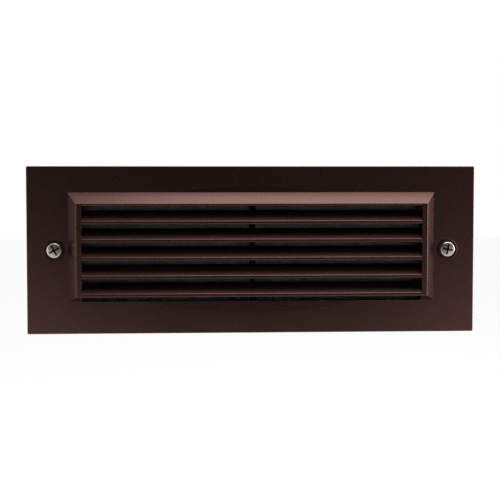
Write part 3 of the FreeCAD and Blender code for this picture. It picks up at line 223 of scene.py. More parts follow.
# %% Recipe for a plain finish
def skin_finish(finish, name, colours, gloss, drift, grain, height, detail=3.0, **surface):
    """Material whose colour follows a coarse noise, and roughness and relief a fine one.

    drift, grain and height are in millimetres, and gloss is the lowest and highest roughness."""
    tree, place = start_finish(finish, name)
    coarse = add_node(tree, "ShaderNodeTexNoise", {"Vector": place, "Scale": 1 / mm(drift)})
    fine = add_node(
        tree, "ShaderNodeTexNoise", {"Vector": place, "Scale": 1 / mm(grain), "Detail": detail}
    )
    tint = add_node(
        tree,
        "ShaderNodeMix",
        {"Factor": coarse.outputs["Fac"], "A": linear(colours[0]), "B": linear(colours[1])},
        data_type="RGBA",
    )
    rough = add_node(
        tree,
        "ShaderNodeMapRange",
        {"Value": fine.outputs["Fac"], "To Min": gloss[0], "To Max": gloss[1]},
    )
    relief = add_node(
        tree, "ShaderNodeBump", {"Height": fine.outputs["Fac"], "Distance": mm(height)}
    )
    inputs = {socket.replace("_", " "): value for socket, value in surface.items()}
    end_finish(
        tree,
        {
            "Base Color": tint.outputs["Result"],
            "Roughness": rough.outputs["Result"],
            "Normal": relief.outputs["Normal"],
            **inputs,
        },
    )


print("recipe ready")

# %% [markdown]
# The **back box** has the same powder, sprayed thinner over the raw casting, whose skin shows
# through as a rougher grain. The **glass** is acid etched on its inner face, so light passes but
# shapes behind it melt. Glass and casting are made by the same recipe, with other numbers.

# %% Casting and glass
skin_finish(
    "housing_casting", "powder_coated_die_casting", ("#3E302C", "#4B3A34"), gloss=(0.45, 0.62),
    drift=28, grain=0.7, height=0.05, detail=6.0, Metallic=0.4,
)
skin_finish(
    "frosted_glass", "acid_etched_glass", ("#9A9F9B", "#9FA4A0"), gloss=(0.42, 0.55),
    drift=20, grain=0.4, height=0.01, IOR=1.52, Transmission_Weight=1.0,
)
print("casting and glass ready")

# %% [markdown]
# **Rubbers, plastics and resins** are moulded or cast: silicone is matte and grips dust, PVC on
# wires is glossy from the die, nylon and polycarbonate take a fine spark grain from the mould, and
# the potting resin levels itself like a dark pool. The enamel on the tray is glossy white powder.

# %% Moulded and cast finishes
skin_finish(
    "silicone_rubber", "silicone_rubber_moulded", ("#1B1B1C", "#262627"), gloss=(0.5, 0.66),
    drift=9, grain=0.5, height=0.01, IOR=1.41,
)
skin_finish(
    "clear_gasket", "silicone_rubber_translucent", ("#B9B9B6", "#CFCFCB"), gloss=(0.4, 0.55),
    drift=9, grain=0.5, height=0.01, IOR=1.41, Subsurface_Weight=0.4, Subsurface_Scale=mm(1.5),
)
skin_finish(
    "thermal_silicone", "silicone_pad_filled", ("#6B7F93", "#7A8FA3"), gloss=(0.6, 0.75),
    drift=5, grain=0.3, height=0.02, IOR=1.45,
)
skin_finish(
    "black_plastic", "polycarbonate_moulded_black", ("#161617", "#202022"), gloss=(0.38, 0.55),
    drift=11, grain=0.6, height=0.02, IOR=1.58,
)
skin_finish(
    "potting_resin", "potting_resin_cast", ("#141416", "#1C1C20"), gloss=(0.18, 0.3),
    drift=60, grain=6.0, height=0.15, IOR=1.52,
)
skin_finish(
    "ivory_plastic", "nylon_moulded_ivory", ("#CFC8B2", "#DDD7C4"), gloss=(0.36, 0.5),
    drift=11, grain=0.6, height=0.015, IOR=1.53,
)
skin_finish(
    "white_enamel", "white_powder_coat_gloss", ("#E2E2DE", "#EAEAE6"), gloss=(0.14, 0.26),
    drift=22, grain=1.2, height=0.01, IOR=1.5,
)
for colour, dark, light in (
    ("red", "#9C1A12", "#B3241A"),
    ("black", "#141414", "#1E1E1E"),
    ("white", "#DADAD6", "#E6E6E2"),
    ("green", "#1A5F2C", "#23753A"),
):
    skin_finish(
        f"{colour}_insulation", f"pvc_insulation_{colour}", (dark, light), gloss=(0.28, 0.4),
        drift=9, grain=0.5, height=0.008, IOR=1.54,
    )
skin_finish(
    "led_package", "led_package_moulded_white", ("#DDDDD8", "#E6E6E2"), gloss=(0.35, 0.5),
    drift=4, grain=0.2, height=0.01, IOR=1.55,
)
skin_finish(
    "phosphor", "phosphor_in_silicone", ("#E0B93C", "#F0D060"), gloss=(0.4, 0.6),
    drift=2, grain=0.2, height=0.02, detail=4.0, IOR=1.43,
)
print(len(finishes), "finishes so far")

# %% [markdown]
# **Turned and drawn metals** share another recipe: the metal's own colour, handled a little
# unevenly, and faint lines left by the tool or the die, which bend the highlights. The lines are
# a wave along Y, the axis that the screws and the rear plug were turned about.

# %% Bright metals
HANDLING_SIZE = mm(3)  # size of the patches that handling leaves
LINE_HEIGHT = mm(0.004)
WAVE_SPACING = tau / 20  # distance between the lines of a Wave node whose scale is 1


def turned_metal(finish, name, colours, gloss, line_spacing):
    """Metal whose colour and roughness drift, with tool lines that many millimetres apart."""
    tree, place = start_finish(finish, name)
    handling = add_node(
        tree, "ShaderNodeTexNoise", {"Vector": place, "Scale": 1 / HANDLING_SIZE, "Detail": 3.0}
    )
    tint = add_node(
        tree,
        "ShaderNodeMix",
        {"Factor": handling.outputs["Fac"], "A": linear(colours[0]), "B": linear(colours[1])},
        data_type="RGBA",
    )
    rough = add_node(
        tree,
        "ShaderNodeMapRange",
        {"Value": handling.outputs["Fac"], "To Min": gloss[0], "To Max": gloss[1]},
    )
    lines = add_node(
        tree,
        "ShaderNodeTexWave",
        {"Vector": place, "Scale": WAVE_SPACING / mm(line_spacing), "Distortion": 1.5},
        bands_direction="Y",
    )
    relief = add_node(
        tree, "ShaderNodeBump", {"Height": lines.outputs["Fac"], "Distance": LINE_HEIGHT}
    )
    end_finish(
        tree,
        {
            "Base Color": tint.outputs["Result"],
            "Metallic": 1.0,
            "Roughness": rough.outputs["Result"],
            "Normal": relief.outputs["Normal"],
        },
    )


FINE, MIDDLE, COARSE = 0.1885, 0.2513, 0.3142  # line spacings in millimetres
for finish, name, colours, gloss, line_spacing in (
    ("stainless_steel", "stainless_steel_turned", ("#C2B1A4", "#DCCBBE"), (0.22, 0.34), FINE),
    ("zinc_plated_steel", "steel_zinc_plated", ("#9EA0A0", "#C4C6C4"), (0.28, 0.42), MIDDLE),
    # painted shade: near-black steel for the screws' cross recess
    ("recess_shade_steel", "stainless_steel_oiled", ("#171311", "#221C18"), (0.4, 0.55), FINE),
    ("brass", "brass_turned", ("#B98C46", "#D9B36A"), (0.24, 0.36), FINE),
    ("tinned_copper", "copper_tinned", ("#A9A7A2", "#C8C6C0"), (0.3, 0.45), COARSE),
    ("green_screw", "steel_dyed_green", ("#1F6B3A", "#2F8A50"), (0.3, 0.42), MIDDLE),
):
    turned_metal(finish, name, colours, gloss, line_spacing)
print(len(finishes), "finishes so far")

# %% [markdown]
# The **LED board** is glass fibre laminate under a white solder mask. The weave of the glass shows
# through the mask as tiny squares, which a Voronoi pattern of the weave's own pitch gives.

# %% Solder mask over laminate
WEAVE_PITCH, WEAVE_HEIGHT = mm(0.8), mm(0.01)

tree, place = start_finish("board_laminate", "laminate_with_white_solder_mask")
weave = add_node(
    tree, "ShaderNodeTexVoronoi", {"Vector": place, "Scale": 1 / WEAVE_PITCH}, distance="CHEBYCHEV"
).outputs["Distance"]
mask = add_node(
    tree,
    "ShaderNodeMix",
    {"Factor": weave, "A": linear("#DFE3DF"), "B": linear("#EAECE8")},
    data_type="RGBA",
)
rough = add_node(tree, "ShaderNodeMapRange", {"Value": weave, "To Min": 0.3, "To Max": 0.4})
relief = add_node(tree, "ShaderNodeBump", {"Height": weave, "Distance": WEAVE_HEIGHT})
end_finish(
    tree,
    {
        "Base Color": mask.outputs["Result"],
        "Roughness": rough.outputs["Result"],
        "Normal": relief.outputs["Normal"],
    },
)
print(len(finishes), "finishes in all")

# %% [markdown]
# ## Smooth shading on the CAD pieces
# A CAD mesh arrives as loose triangles, which would show every facet. The cure keeps the mesh as
# it is and adds modifiers: weld the triangles together, smooth every edge flatter than a limit,
# and lean the normals towards the large faces so that flats stay flat beside their rounds.

# %% Modifiers that smooth a CAD piece
SHARP_ANGLE = radians(32)  # an edge bent by more than this stays sharp
WELD_DISTANCE = mm(0.002)


def smooth_by_angle(limit):
    """Node group that shades faces smooth and keeps edges sharper than the limit, in radians."""
    group = bpy.data.node_groups.new("smooth_by_angle", "GeometryNodeTree")
    group.interface.new_socket("Geometry", in_out="INPUT", socket_type="NodeSocketGeometry")
    group.interface.new_socket("Geometry", in_out="OUTPUT", socket_type="NodeSocketGeometry")
    start = add_node(group, "NodeGroupInput")
    angle = add_node(group, "GeometryNodeInputMeshEdgeAngle")
    sharp = add_node(
        group,
        "FunctionNodeCompare",
        {0: angle.outputs["Unsigned Angle"], 1: limit},
        data_type="FLOAT",
        operation="GREATER_THAN",
    )
    faces = add_node(
        group,
        "GeometryNodeSetShadeSmooth",
        {"Geometry": start.outputs[0], "Shade Smooth": True},
        domain="FACE",
    )
    edges = add_node(
        group,
        "GeometryNodeSetShadeSmooth",
        {
            "Geometry": faces.outputs[0],
            "Selection": sharp.outputs["Result"],
            "Shade Smooth": False,
        },
        domain="EDGE",
    )
    add_node(group, "NodeGroupOutput", {0: edges.outputs[0]})
    return group


smoothing = smooth_by_angle(SHARP_ANGLE)


def smooth(piece):
    """Weld, smooth and weight the normals of a piece without touching its mesh."""
    piece.modifiers.new("weld", "WELD").merge_threshold = WELD_DISTANCE
    piece.modifiers.new("smooth_by_angle", "NODES").node_group = smoothing
    piece.modifiers.new("weighted_normals", "WEIGHTED_NORMAL").keep_sharp = True


slots = {part["node"]: part["material_slot"] for part in frame["record"]["subparts"]}
for name, node in frame["nodes"].items():
    node.data.materials.clear()
    node.data.materials.append(finishes[slots[name]])
    smooth(node)
print(len(frame["nodes"]), "CAD pieces smoothed and finished")

# %% [markdown]
# ## New pieces
# A few CAD solids stand in for shapes that CAD keeps plain: screws without threads, soft rubber
# with hard edges, wires bent like rods. Most new pieces are grids of points worked out with numpy,
# rows by columns: these helpers turn such grids into one closed mesh and hand it to its body.

# %% From grids of points to a piece
MERGE_DISTANCE = mm(0.001)


def hand_over(piece, finish, slot, body, *nodes):
    """Give a piece its material and its body to ride on, and hide the CAD nodes it stands in for.
    The slot argument is not used.
    """
    bpy.context.scene.collection.objects.link(piece)
    piece.data.materials.append(finishes[finish])
    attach(piece, body)
    if nodes:
        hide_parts(*nodes)
    return piece


def merged(mesh):
    """Merge the points that fall together, and turn every face outwards."""
    shape = bmesh.new()
    shape.from_mesh(mesh)
    bmesh.ops.remove_doubles(shape, verts=shape.verts, dist=MERGE_DISTANCE)
    bmesh.ops.recalc_face_normals(shape, faces=shape.faces)
    shape.to_mesh(mesh)
    shape.free()


def build(name, grids, second_rows=0):
    """Object from grids in millimetres, rows x columns x 3, whose last column joins the first.

    Cell (i, j) becomes the face of points i and i + 1 in columns j and j + 1. A row that is one
    point over and over becomes a pole when the points are merged. The first rows of cells, as
    many as second_rows, take the piece's second material."""
    points, faces, used = [], [], 0
    for grid in grids:
        rows, columns = grid.shape[:2]
        index = used + np.arange(rows * columns).reshape(rows, columns)
        beside = np.roll(index, -1, axis=1)
        cells = np.stack([index[:-1], index[1:], beside[1:], beside[:-1]], axis=-1)
        faces.append(cells.reshape(-1, 4))
        points.append(grid.reshape(-1, 3))
        used += rows * columns
    mesh = bpy.data.meshes.new(name)
    mesh.from_pydata(mm(np.vstack(points)).tolist(), [], np.vstack(faces).tolist())
    second = np.arange(len(mesh.polygons)) < second_rows * grids[0].shape[1]
    mesh.polygons.foreach_set("material_index", second.astype(np.int32))
    merged(mesh)
    piece = bpy.data.objects.new(name, mesh)
    smooth(piece)
    return piece


print("piece helpers ready")

# %% [markdown]
# ### Screws
# A real cross recess screw is forged, then its thread is rolled. It could be a lathe profile with
# a hole cut by a boolean, but booleans leave ragged meshes. Instead the plus sign of the recess is
# itself a row of the grid: the rows grow from the recess floor to its outline, then ease into
# circles for the head, and end as a shank whose radius swings once per pitch to make the thread.

# %% Cross recess screw
RECESS_ROWS = 5  # rows of the grid that lie on the floor of the recess
ARM_LENGTH, ARM_WIDTH = 0.7, 0.12  # half length and half width of the cross, in head radii
FLOOR_SHARE = 0.86  # the floor of the recess as a share of its outline
FLOOR_LOW, FLOOR_RISE = 0.42, 0.3  # its middle, and its rise per head radius, in head heights
LIPS = (0.97, 1.0, 1.06)  # rows just inside, on and just outside the outline, as shares of it
RIM, SHOULDER = 0.8, 0.24  # where the dome ends, and the shoulder's height, in head radii
DOME = 0.09  # how far the dome would drop by the head's edge, in head heights
LIP_DROP, EDGE, FILLET, CHAMFER = 0.1, 0.12, 0.25, 0.3  # small breaks and rounds, in millimetres
THREAD_DEPTH, THREAD_ROWS, THREAD_STOP = 0.6, 7, 0.4  # in pitches, per pitch, mm before the tip


def cross_outline(half_length, half_width, side_points):
    """Complex points round a plus sign: an arm's end and side, mirrored, in four quarter turns.

    A side's points slide inwards by a share to the power 1.6, so they crowd at its inner corner."""
    slide = np.linspace(1, 0, side_points) ** 1.6
    side = half_width + (half_length - half_width) * slide + 1j * half_width
    eighth = np.concatenate([[half_length, half_length + 0.5j * half_width], side])
    mirrored = 1j * np.conj(eighth[-2:0:-1])
    quarter = np.concatenate([eighth, mirrored])
    return np.outer(1j ** np.arange(4), quarter).ravel()


def screw(seat, head, shank, pitch, side_points=4, turn=0.0, facing=-1):
    """Grid of a pan head screw in millimetres, seated at a point, its head along facing times Y.

    head is (radius, height) and shank (radius, length). Plan = outline times a share for the
    recess, then a blend from the outline to a circle, then circles. Height = a shallow dome less
    the recess depth, a quarter circle at the shoulder, and straight down the shank. Shank
    radius = outer radius less the thread's depth times half of (1 + the cosine of the angle
    round the shank plus a full turn per pitch of depth)."""
    head_radius, head_height = head
    shank_radius, length = shank
    arms = cross_outline(ARM_LENGTH * head_radius, ARM_WIDTH * head_radius, side_points)
    arms = arms * np.exp(1j * radians(turn))
    around = arms / abs(arms)
    bowl = np.linspace(0, FLOOR_SHARE, RECESS_ROWS)[:, None] * arms
    bowl_height = head_height * (FLOOR_LOW + FLOOR_RISE * abs(bowl) / head_radius)
    lips = np.array(LIPS)[:, None] * arms
    rim = RIM * head_radius * around
    cap = lips[-1] + (rim - lips[-1]) * np.linspace(0, 1, 6)[1:, None]
    top = np.vstack([lips, cap])
    top_height = head_height * (1 - DOME * (abs(top) / head_radius) ** 2)
    top_height[0] -= LIP_DROP
    arc = np.linspace(0, pi / 2, 7)[1:, None]
    shoulder = head_radius * (RIM + (1 - RIM) * np.sin(arc)) * around
    shoulder_height = top_height[-1] - SHOULDER * head_radius * (1 - np.cos(arc))
    neck = [head_radius, head_radius - EDGE, shank_radius + FILLET, shank_radius]
    neck_height = [EDGE, 0.0, 0.0, -FILLET]
    down = np.arange(FILLET, length - THREAD_STOP, pitch / THREAD_ROWS)[:, None]
    swing = 0.5 + 0.5 * np.cos(tau * down / pitch + np.angle(around))
    cut = THREAD_DEPTH * pitch * np.clip((down - FILLET) / pitch, 0, 1) * swing
    core = shank_radius - THREAD_DEPTH * pitch
    plan = np.vstack([
        bowl, top, shoulder, np.outer(neck, around), (shank_radius - cut) * around,
        np.outer([core, core - CHAMFER, 0.0], around),
    ])
    level = np.ones_like(abs(around))
    height = np.vstack([
        bowl_height, top_height, shoulder_height, np.outer(neck_height, level),
        -down * level, np.outer([CHAMFER - length, -length, -length], level),
    ])
    return np.stack(
        [seat[0] + plan.real, seat[1] + facing * height, seat[2] + plan.imag], axis=-1
    )


print("grid of a small screw:", screw((0, 0, 0), (1, 1), (0.5, 2), 0.5).shape[:2])

# %% [markdown]
# The two **faceplate screws** are the only bright spots on the front. Each sits in its own
# counterbore, and each stopped at its own angle. The cross recess is painted nearly black as
# painted shade, so its rows take a second, near-black steel.

# %% Faceplate screws
SCREW_X, HEAD_SEAT = 103.2, -2.8  # millimetres from the middle, and where the heads sit along Y
FACEPLATE_HEAD, FACEPLATE_SHANK = (3.95, 2.4), (2.05, 12.7)  # (radius, height), (radius, length)
FACEPLATE_PITCH = 25.4 / 32

for side, x, turn in (("left", -SCREW_X, 29), ("right", SCREW_X, -12)):
    seat = (x, HEAD_SEAT, 0)
    grid = screw(seat, FACEPLATE_HEAD, FACEPLATE_SHANK, FACEPLATE_PITCH, side_points=8, turn=turn)
    piece = build(f"{side}_screw_threaded", [grid], RECESS_ROWS)
    hand_over(
        piece, "stainless_steel", "stainless_steel", f"{side}_screw", f"{side}_faceplate_screw"
    )
    # the recess rows take the near-black steel of the painted shade
    piece.data.materials.append(finishes["recess_shade_steel"])
    print(piece.name, grid.shape[:2], "grid,", len(piece.data.polygons), "faces")

# %% [markdown]
# The small screws inside come from the same function. Those of a kind form one piece, because they
# are one node in the CAD. Each is turned by its own angle, as no one lines up screws by hand.

# %% Small screws
SMALL_HEAD, GROUND_HEAD = (2.8, 1.8), (3.2, 1.8)  # (radius, height) in millimetres
SMALL_RADIUS, SMALL_PITCH = 1.45, 0.6
TURN_STEP = 37  # degrees from each screw of a kind to the next
BOARD_FACE = 35.9  # front face of the LED board along Y
TO_FRONT, TO_BACK = -1, 1  # which way a head looks along Y


def corners(x, y, z):
    """Four places mirrored left to right and bottom to top."""
    return [(x, y, z), (-x, y, z), (x, y, -z), (-x, y, -z)]


small_screws = {  # seats, head, length under the head, finish, which way the head looks
    "lens_clip_screws": (corners(94.6, 5.8, 20), SMALL_HEAD, 6, "stainless_steel", TO_BACK),
    "tray_screws": (corners(92, 12, 30.6), SMALL_HEAD, 9, "zinc_plated_steel", TO_FRONT),
    "board_screws": (corners(60, BOARD_FACE, 11), SMALL_HEAD, 6, "zinc_plated_steel", TO_FRONT),
    "driver_screws": (
        [(-49, 74.5, 0), (51, 74.5, 0)], SMALL_HEAD, 6, "zinc_plated_steel", TO_FRONT,
    ),
    "block_screws": (
        [(72, 74, 15.5), (72, 74, -15.5)], SMALL_HEAD, 6, "zinc_plated_steel", TO_FRONT,
    ),
    "ground_screw": ([(30, 71.1, -23.4)], GROUND_HEAD, 6, "green_screw", TO_FRONT),
}
for node, (seats, head, length, finish, facing) in small_screws.items():
    shank = (SMALL_RADIUS, length)
    grids = [
        screw(seat, head, shank, SMALL_PITCH, turn=TURN_STEP * number, facing=facing)
        for number, seat in enumerate(seats)
    ]
    body = "faceplate" if node == "lens_clip_screws" else "housing"
    piece = hand_over(build(f"{node}_threaded", grids), finish, finish, body, node)
    print(piece.name, len(piece.data.polygons), "faces")

# %% [markdown]
# ### Rubber washers and the grommet
# Rubber leaves its mould with round edges and swells a little where it is squeezed. Each is a
# closed outline turned round an axis along Y. The outline's corners are cut again and again, which
# rounds them evenly, and the last row meets the first.

# %% Turned rubber
def rounded(outline, cuts=3):
    """Closed outline with its corners cut that often, at a quarter and three quarters of a side."""
    for _ in range(cuts):
        ahead = np.roll(outline, -1, axis=0)
        outline = np.stack(
            [0.75 * outline + 0.25 * ahead, 0.25 * outline + 0.75 * ahead], axis=1
        ).reshape(-1, 2)
    return outline


def turned(outline, centre, columns=64):
    """Grid of an outline of (radius, y) turned about Y: x = radius cos, z = radius sin."""
    outline = np.asarray(outline, dtype=float)
    angle = np.linspace(0, tau, columns, endpoint=False)
    radius, along = outline[:, :1], outline[:, 1:]
    return np.stack(
        [
            centre[0] + radius * np.cos(angle),
            along + 0 * angle,
            centre[1] + radius * np.sin(angle),
        ],
        axis=-1,
    )


def ring(outline):
    """Rounded outline whose last point meets its first."""
    soft = rounded(np.array(outline, dtype=float))
    return np.vstack([soft, soft[:1]])


print("rubber helpers ready")

# %% [markdown]
# The washers lie between the screw heads and the floor of the counterbores. The grommet has a
# groove round its middle, which holds the edge of the hole in the tray.

# %% Washers and grommet
BORE_FLOOR = -2.0  # floor of the faceplate's counterbores along Y
WASHER = [
    (2.4, HEAD_SEAT), (3.6, HEAD_SEAT), (4.9, HEAD_SEAT),
    (4.9, BORE_FLOOR), (3.6, BORE_FLOOR), (2.4, BORE_FLOOR),
]
GROMMET_X = -72.5
GROMMET = [
    (2.6, 37.0), (3.6, 37.0), (4.6, 37.0), (4.6, 38.0), (3.3, 38.0), (3.3, 39.0), (4.6, 39.0),
    (4.6, 40.0), (3.6, 40.0), (2.6, 40.0), (2.6, 38.5),
]

for side, x in (("left", -SCREW_X), ("right", SCREW_X)):
    piece = build(f"{side}_washer_moulded", [turned(ring(WASHER), (x, 0))])
    hand_over(
        piece, "silicone_rubber", "silicone_rubber", f"{side}_washer", f"{side}_screw_washer"
    )
    print(piece.name, len(piece.data.polygons), "faces")

piece = build("tray_grommet_moulded", [turned(ring(GROMMET), (GROMMET_X, 0))])
hand_over(piece, "silicone_rubber", "silicone_rubber", "housing", "tray_grommet")
print(piece.name, len(piece.data.polygons), "faces")

# %% [markdown]
# ### Gaskets and the thermal pad
# These are cut or moulded silicone sheet whose outline the CAD has right, with edges that are too
# hard. The quickest true way is to copy the CAD mesh, merge its loose triangles into flat faces,
# and let a Bevel modifier roll the edges over.

# %% Softened copies
FLAT_ANGLE, ROLL_ANGLE = radians(1), 0.9  # faces merge below the one, edges roll above the other
ROLL_STEPS = 3


def softened(node, body, edge):
    """Merged copy of a CAD node's mesh whose edges are rolled over by that many millimetres."""
    mesh = frame["nodes"][node].data.copy()
    shape = bmesh.new()
    shape.from_mesh(mesh)
    bmesh.ops.remove_doubles(shape, verts=shape.verts, dist=WELD_DISTANCE)
    bmesh.ops.dissolve_limit(shape, angle_limit=FLAT_ANGLE, verts=shape.verts, edges=shape.edges)
    shape.to_mesh(mesh)
    shape.free()
    mesh.materials.clear()
    piece = bpy.data.objects.new(f"{node}_soft", mesh)
    roll = piece.modifiers.new("rolled_edges", "BEVEL")
    roll.width = mm(edge)
    roll.segments = ROLL_STEPS
    roll.limit_method = "ANGLE"
    roll.angle_limit = ROLL_ANGLE
    smooth(piece)
    return hand_over(piece, slots[node], slots[node], body, node)


for node, body, edge in (
    ("faceplate_gasket", "faceplate", 0.35),
    ("lens_gasket", "faceplate", 0.25),
    ("thermal_pad", "housing", 0.12),
):
    piece = softened(node, body, edge)
    print(piece.name, len(piece.data.polygons), "faces before rolling")

# %% [markdown]
# ### Leads
# A stranded wire in PVC is springy, so it never turns a corner sharply. Each lead is a NURBS curve
# pulled by the same points that the CAD route has, so it eases round every bend, with a round
# bevel of the wire's own radius. The ends stop in the solder, the driver and the terminals.

# %% One lead
LEAD_RADIUS = 0.85


def lead(node, route):
    """Smooth round wire whose NURBS control points are the route's, in millimetres."""
    line = bpy.data.curves.new(f"{node}_drawn", "CURVE")
    line.dimensions = "3D"
    line.resolution_u = 10
    line.bevel_depth = mm(LEAD_RADIUS)
    line.bevel_resolution = 4
    line.use_fill_caps = True
    spline = line.splines.new("NURBS")
    spline.points.add(len(route) - 1)
    spline.points.foreach_set("co", np.column_stack([mm(route), np.ones(len(route))]).ravel())
    spline.order_u = 3
    spline.use_endpoint_u = True
    piece = bpy.data.objects.new(line.name, line)
    return hand_over(piece, slots[node], slots[node], "housing", node)


print("lead helper ready, for wires", 2 * LEAD_RADIUS, "mm thick")

# %% [markdown]
# Two leads run from the board through the grommet to the driver, one above and one below the
# middle. Two more carry the mains from the driver to the terminals, and the green one joins the
# ground ring to a terminal of its own.

# %% Five leads
PAD_X, PAD_Z = -61.5, 4.5  # solder pads of the board, above and below the middle
DRIVER_END = 54.2  # where leads end in the driver, along Y
TERMINAL_X, TERMINAL_Y = 68, 71.5  # where leads end in the terminal block
RING_Z, GROUND_Z = -23.4, -10  # heights of the ground ring and of its terminal


def led_route(way):
    """Route from the board's pad through the grommet to the driver, above or below the middle."""
    return np.array([
        (PAD_X, BOARD_FACE, PAD_Z * way), (PAD_X, 29.4, PAD_Z * way), (-67, 27.4, 2.7 * way),
        (GROMMET_X, 30.4, 1.1 * way), (GROMMET_X, 44.5, 1.1 * way), (-67.5, 48, 2 * way),
        (-54.75, 46, 4 * way), (-37, 46.5, 5 * way), (-37, DRIVER_END, 5 * way),
    ])


def mains_route(up):
    """Route from the driver's front round its side into the terminal at that height."""
    return np.array([
        (40, DRIVER_END, up), (40, 46.5, up), (47.5, 43.5, up + 1), (55, 50, up + 1.5),
        (56, 61, up), (58, TERMINAL_Y, up), (TERMINAL_X, TERMINAL_Y, up),
    ])


ground_route = np.array([
    (37.5, TERMINAL_Y, RING_Z), (45.5, TERMINAL_Y, RING_Z), (55, 68.5, -16.7),
    (61, TERMINAL_Y, GROUND_Z), (TERMINAL_X, TERMINAL_Y, GROUND_Z),
])
for node, route in (
    ("led_lead_red", led_route(1)),
    ("led_lead_black", led_route(-1)),
    ("driver_lead_black", mains_route(10)),
    ("driver_lead_white", mains_route(0)),
    ("ground_lead", ground_route),
):
    piece = lead(node, route)
    print(piece.name, len(route), "points")

# %% [markdown]
# ### Solder joints
# Molten solder wets the pad and climbs the wire, so its side is hollow. It could be a plain cone,
# but the hollow is what makes it look molten. It is one more outline turned about Y.

# %% Solder joints
SOLDER_NECK, SOLDER_FOOT, SOLDER_HEIGHT = 0.9, 2.0, 1.6  # radius at top and foot, and height
HOLLOWNESS = 2.4  # power by which the side narrows as it climbs
FOOT_SUNK, CAP = 0.05, 0.1  # how deep the foot lies in the board, and how far the cap stands up

climb = np.linspace(0, 1, 9)
narrowing = (SOLDER_FOOT - SOLDER_NECK) * (1 - climb) ** HOLLOWNESS
hollow = np.column_stack([SOLDER_NECK + narrowing, BOARD_FACE - SOLDER_HEIGHT * climb])
profile = np.vstack([
    [0, BOARD_FACE + FOOT_SUNK], [SOLDER_FOOT, BOARD_FACE + FOOT_SUNK], hollow,
    [0, BOARD_FACE - SOLDER_HEIGHT - CAP],
])
joints = [turned(profile, (PAD_X, z), 32) for z in (PAD_Z, -PAD_Z)]
piece = hand_over(build("board_solder_joints", joints), "tinned_copper", "tinned_copper", "housing")
print(piece.name, len(piece.data.polygons), "faces")

# %% [markdown]
# ### Phosphor windows
# Each LED is a white cup filled with silicone and yellow phosphor, which bulges a little. The cups
# are CAD solids, and each filling is a grid of rings that widen from its middle. They show only
# when the faceplate comes off.

# %% Phosphor windows
LED_FACE = 35.1  # front face of the LEDs along Y
LED_X, LED_Z = np.linspace(-54, 54, 16), (-5.4, 5.4)  # their columns and rows
WINDOW_HALF, SQUARENESS = (1.35, 1.0), 0.4  # half width and height, and power of the round corners
PILLOW_SHARE = np.array([0, 0.35, 0.7, 0.9, 1, 1, 0])[:, None]  # rings from the middle outwards
PILLOW_DEPTH = np.array([-0.09, -0.085, -0.07, -0.045, -0.01, 0.1, 0.1])[:, None]  # below the face


def window(x, z):
    """Grid of one phosphor pillow: a squarish ring shrunk to a point, higher towards the middle.

    Ring = sign times the size of cosine and sine to a power below 1, which squares the circle."""
    angle = np.linspace(0, tau, 24, endpoint=False)
    wide = WINDOW_HALF[0] * np.sign(np.cos(angle)) * abs(np.cos(angle)) ** SQUARENESS
    tall = WINDOW_HALF[1] * np.sign(np.sin(angle)) * abs(np.sin(angle)) ** SQUARENESS
    depth = LED_FACE + PILLOW_DEPTH + 0 * angle
    return np.stack([x + PILLOW_SHARE * wide, depth, z + PILLOW_SHARE * tall], axis=-1)


windows = [window(x, z) for x in LED_X for z in LED_Z]
piece = hand_over(build("led_phosphor_windows", windows), "phosphor", "led_package", "housing")
print(piece.name, len(windows), "windows")

# %% [markdown]
# ### Thread in the open conduit hub
# Two hubs carry plugs, and the right one is open, so its tapped thread shows. It is a thin sleeve
# in the bore, turned about X: the wall inside swings once per pitch, and the wall outside is
# buried in the casting.

# %% Tapped thread
HUB_Y, HUB_BORE, HUB_START, HUB_END = 56.0, 10.2, 100.7, 110.6  # axis, radius and ends of the bore
HUB_PITCH, HUB_ROWS, HUB_DEPTH = 1.8, 9, 0.95  # of the thread, with its rows per pitch
WALL_INSIDE, WALL_OUTSIDE = 0.03, 0.1  # how far the sleeve lies inside the bore and in the casting

along = np.arange(HUB_START, HUB_END, HUB_PITCH / HUB_ROWS)[:, None]
angle = np.linspace(0, tau, 72, endpoint=False)
ends = np.clip(np.minimum(along - HUB_START, HUB_END - along) / HUB_PITCH, 0, 1)
ridge = 0.5 + 0.5 * np.cos(tau * along / HUB_PITCH + angle)
wall = HUB_BORE - WALL_INSIDE - HUB_DEPTH * ends * ridge
buried = np.full((1, angle.size), HUB_BORE + WALL_OUTSIDE)
radius = np.vstack([buried, wall, buried, buried])
reach = np.vstack([along[:1], along, along[-1:], along[:1]]) + 0 * angle
sleeve = np.stack([reach, HUB_Y + radius * np.cos(angle), radius * np.sin(angle)], axis=-1)
piece = build("right_hub_thread", [sleeve])
hand_over(piece, "housing_casting", "housing_casting", "housing")
print(piece.name, sleeve.shape[:2], "grid")

# %% [markdown]
# ## Studio
# The light hangs in the air in front of plain white. Product photographers light a room so that it
# looks white but throws little light on the object. A world of strength 1 would flood the piece, so
# the shader asks what kind of ray it meets: the camera, gloss and glass see full white, and every
# other ray sees it dim.

# %% White to the eye
WORLD_DIM = 0.08  # how strongly the world lights the piece, where 1 is white


def white_to_the_eye(tree, dim, full=1.0):
    """Full strength for camera, glossy and transmitted rays, and the dim strength for the rest."""
    path = add_node(tree, "ShaderNodeLightPath")
    total = path.outputs["Is Camera Ray"]
    for ray in ("Is Glossy Ray", "Is Transmission Ray"):
        total = add_node(
            tree, "ShaderNodeMath", {0: total, 1: path.outputs[ray]}, operation="MAXIMUM"
        ).outputs[0]
    strength = add_node(tree, "ShaderNodeMapRange", {"Value": total, "To Min": dim, "To Max": full})
    return strength.outputs["Result"]


world = bpy.data.worlds.new("white_studio")
bpy.context.scene.world = world
world.use_nodes = True
world.node_tree.nodes.clear()
backdrop = add_node(
    world.node_tree,
    "ShaderNodeBackground",
    {"Color": WHITE, "Strength": white_to_the_eye(world.node_tree, WORLD_DIM)},
)
add_node(world.node_tree, "ShaderNodeOutputWorld", {"Surface": backdrop.outputs[0]})
print(world.name, len(world.node_tree.nodes), "nodes")

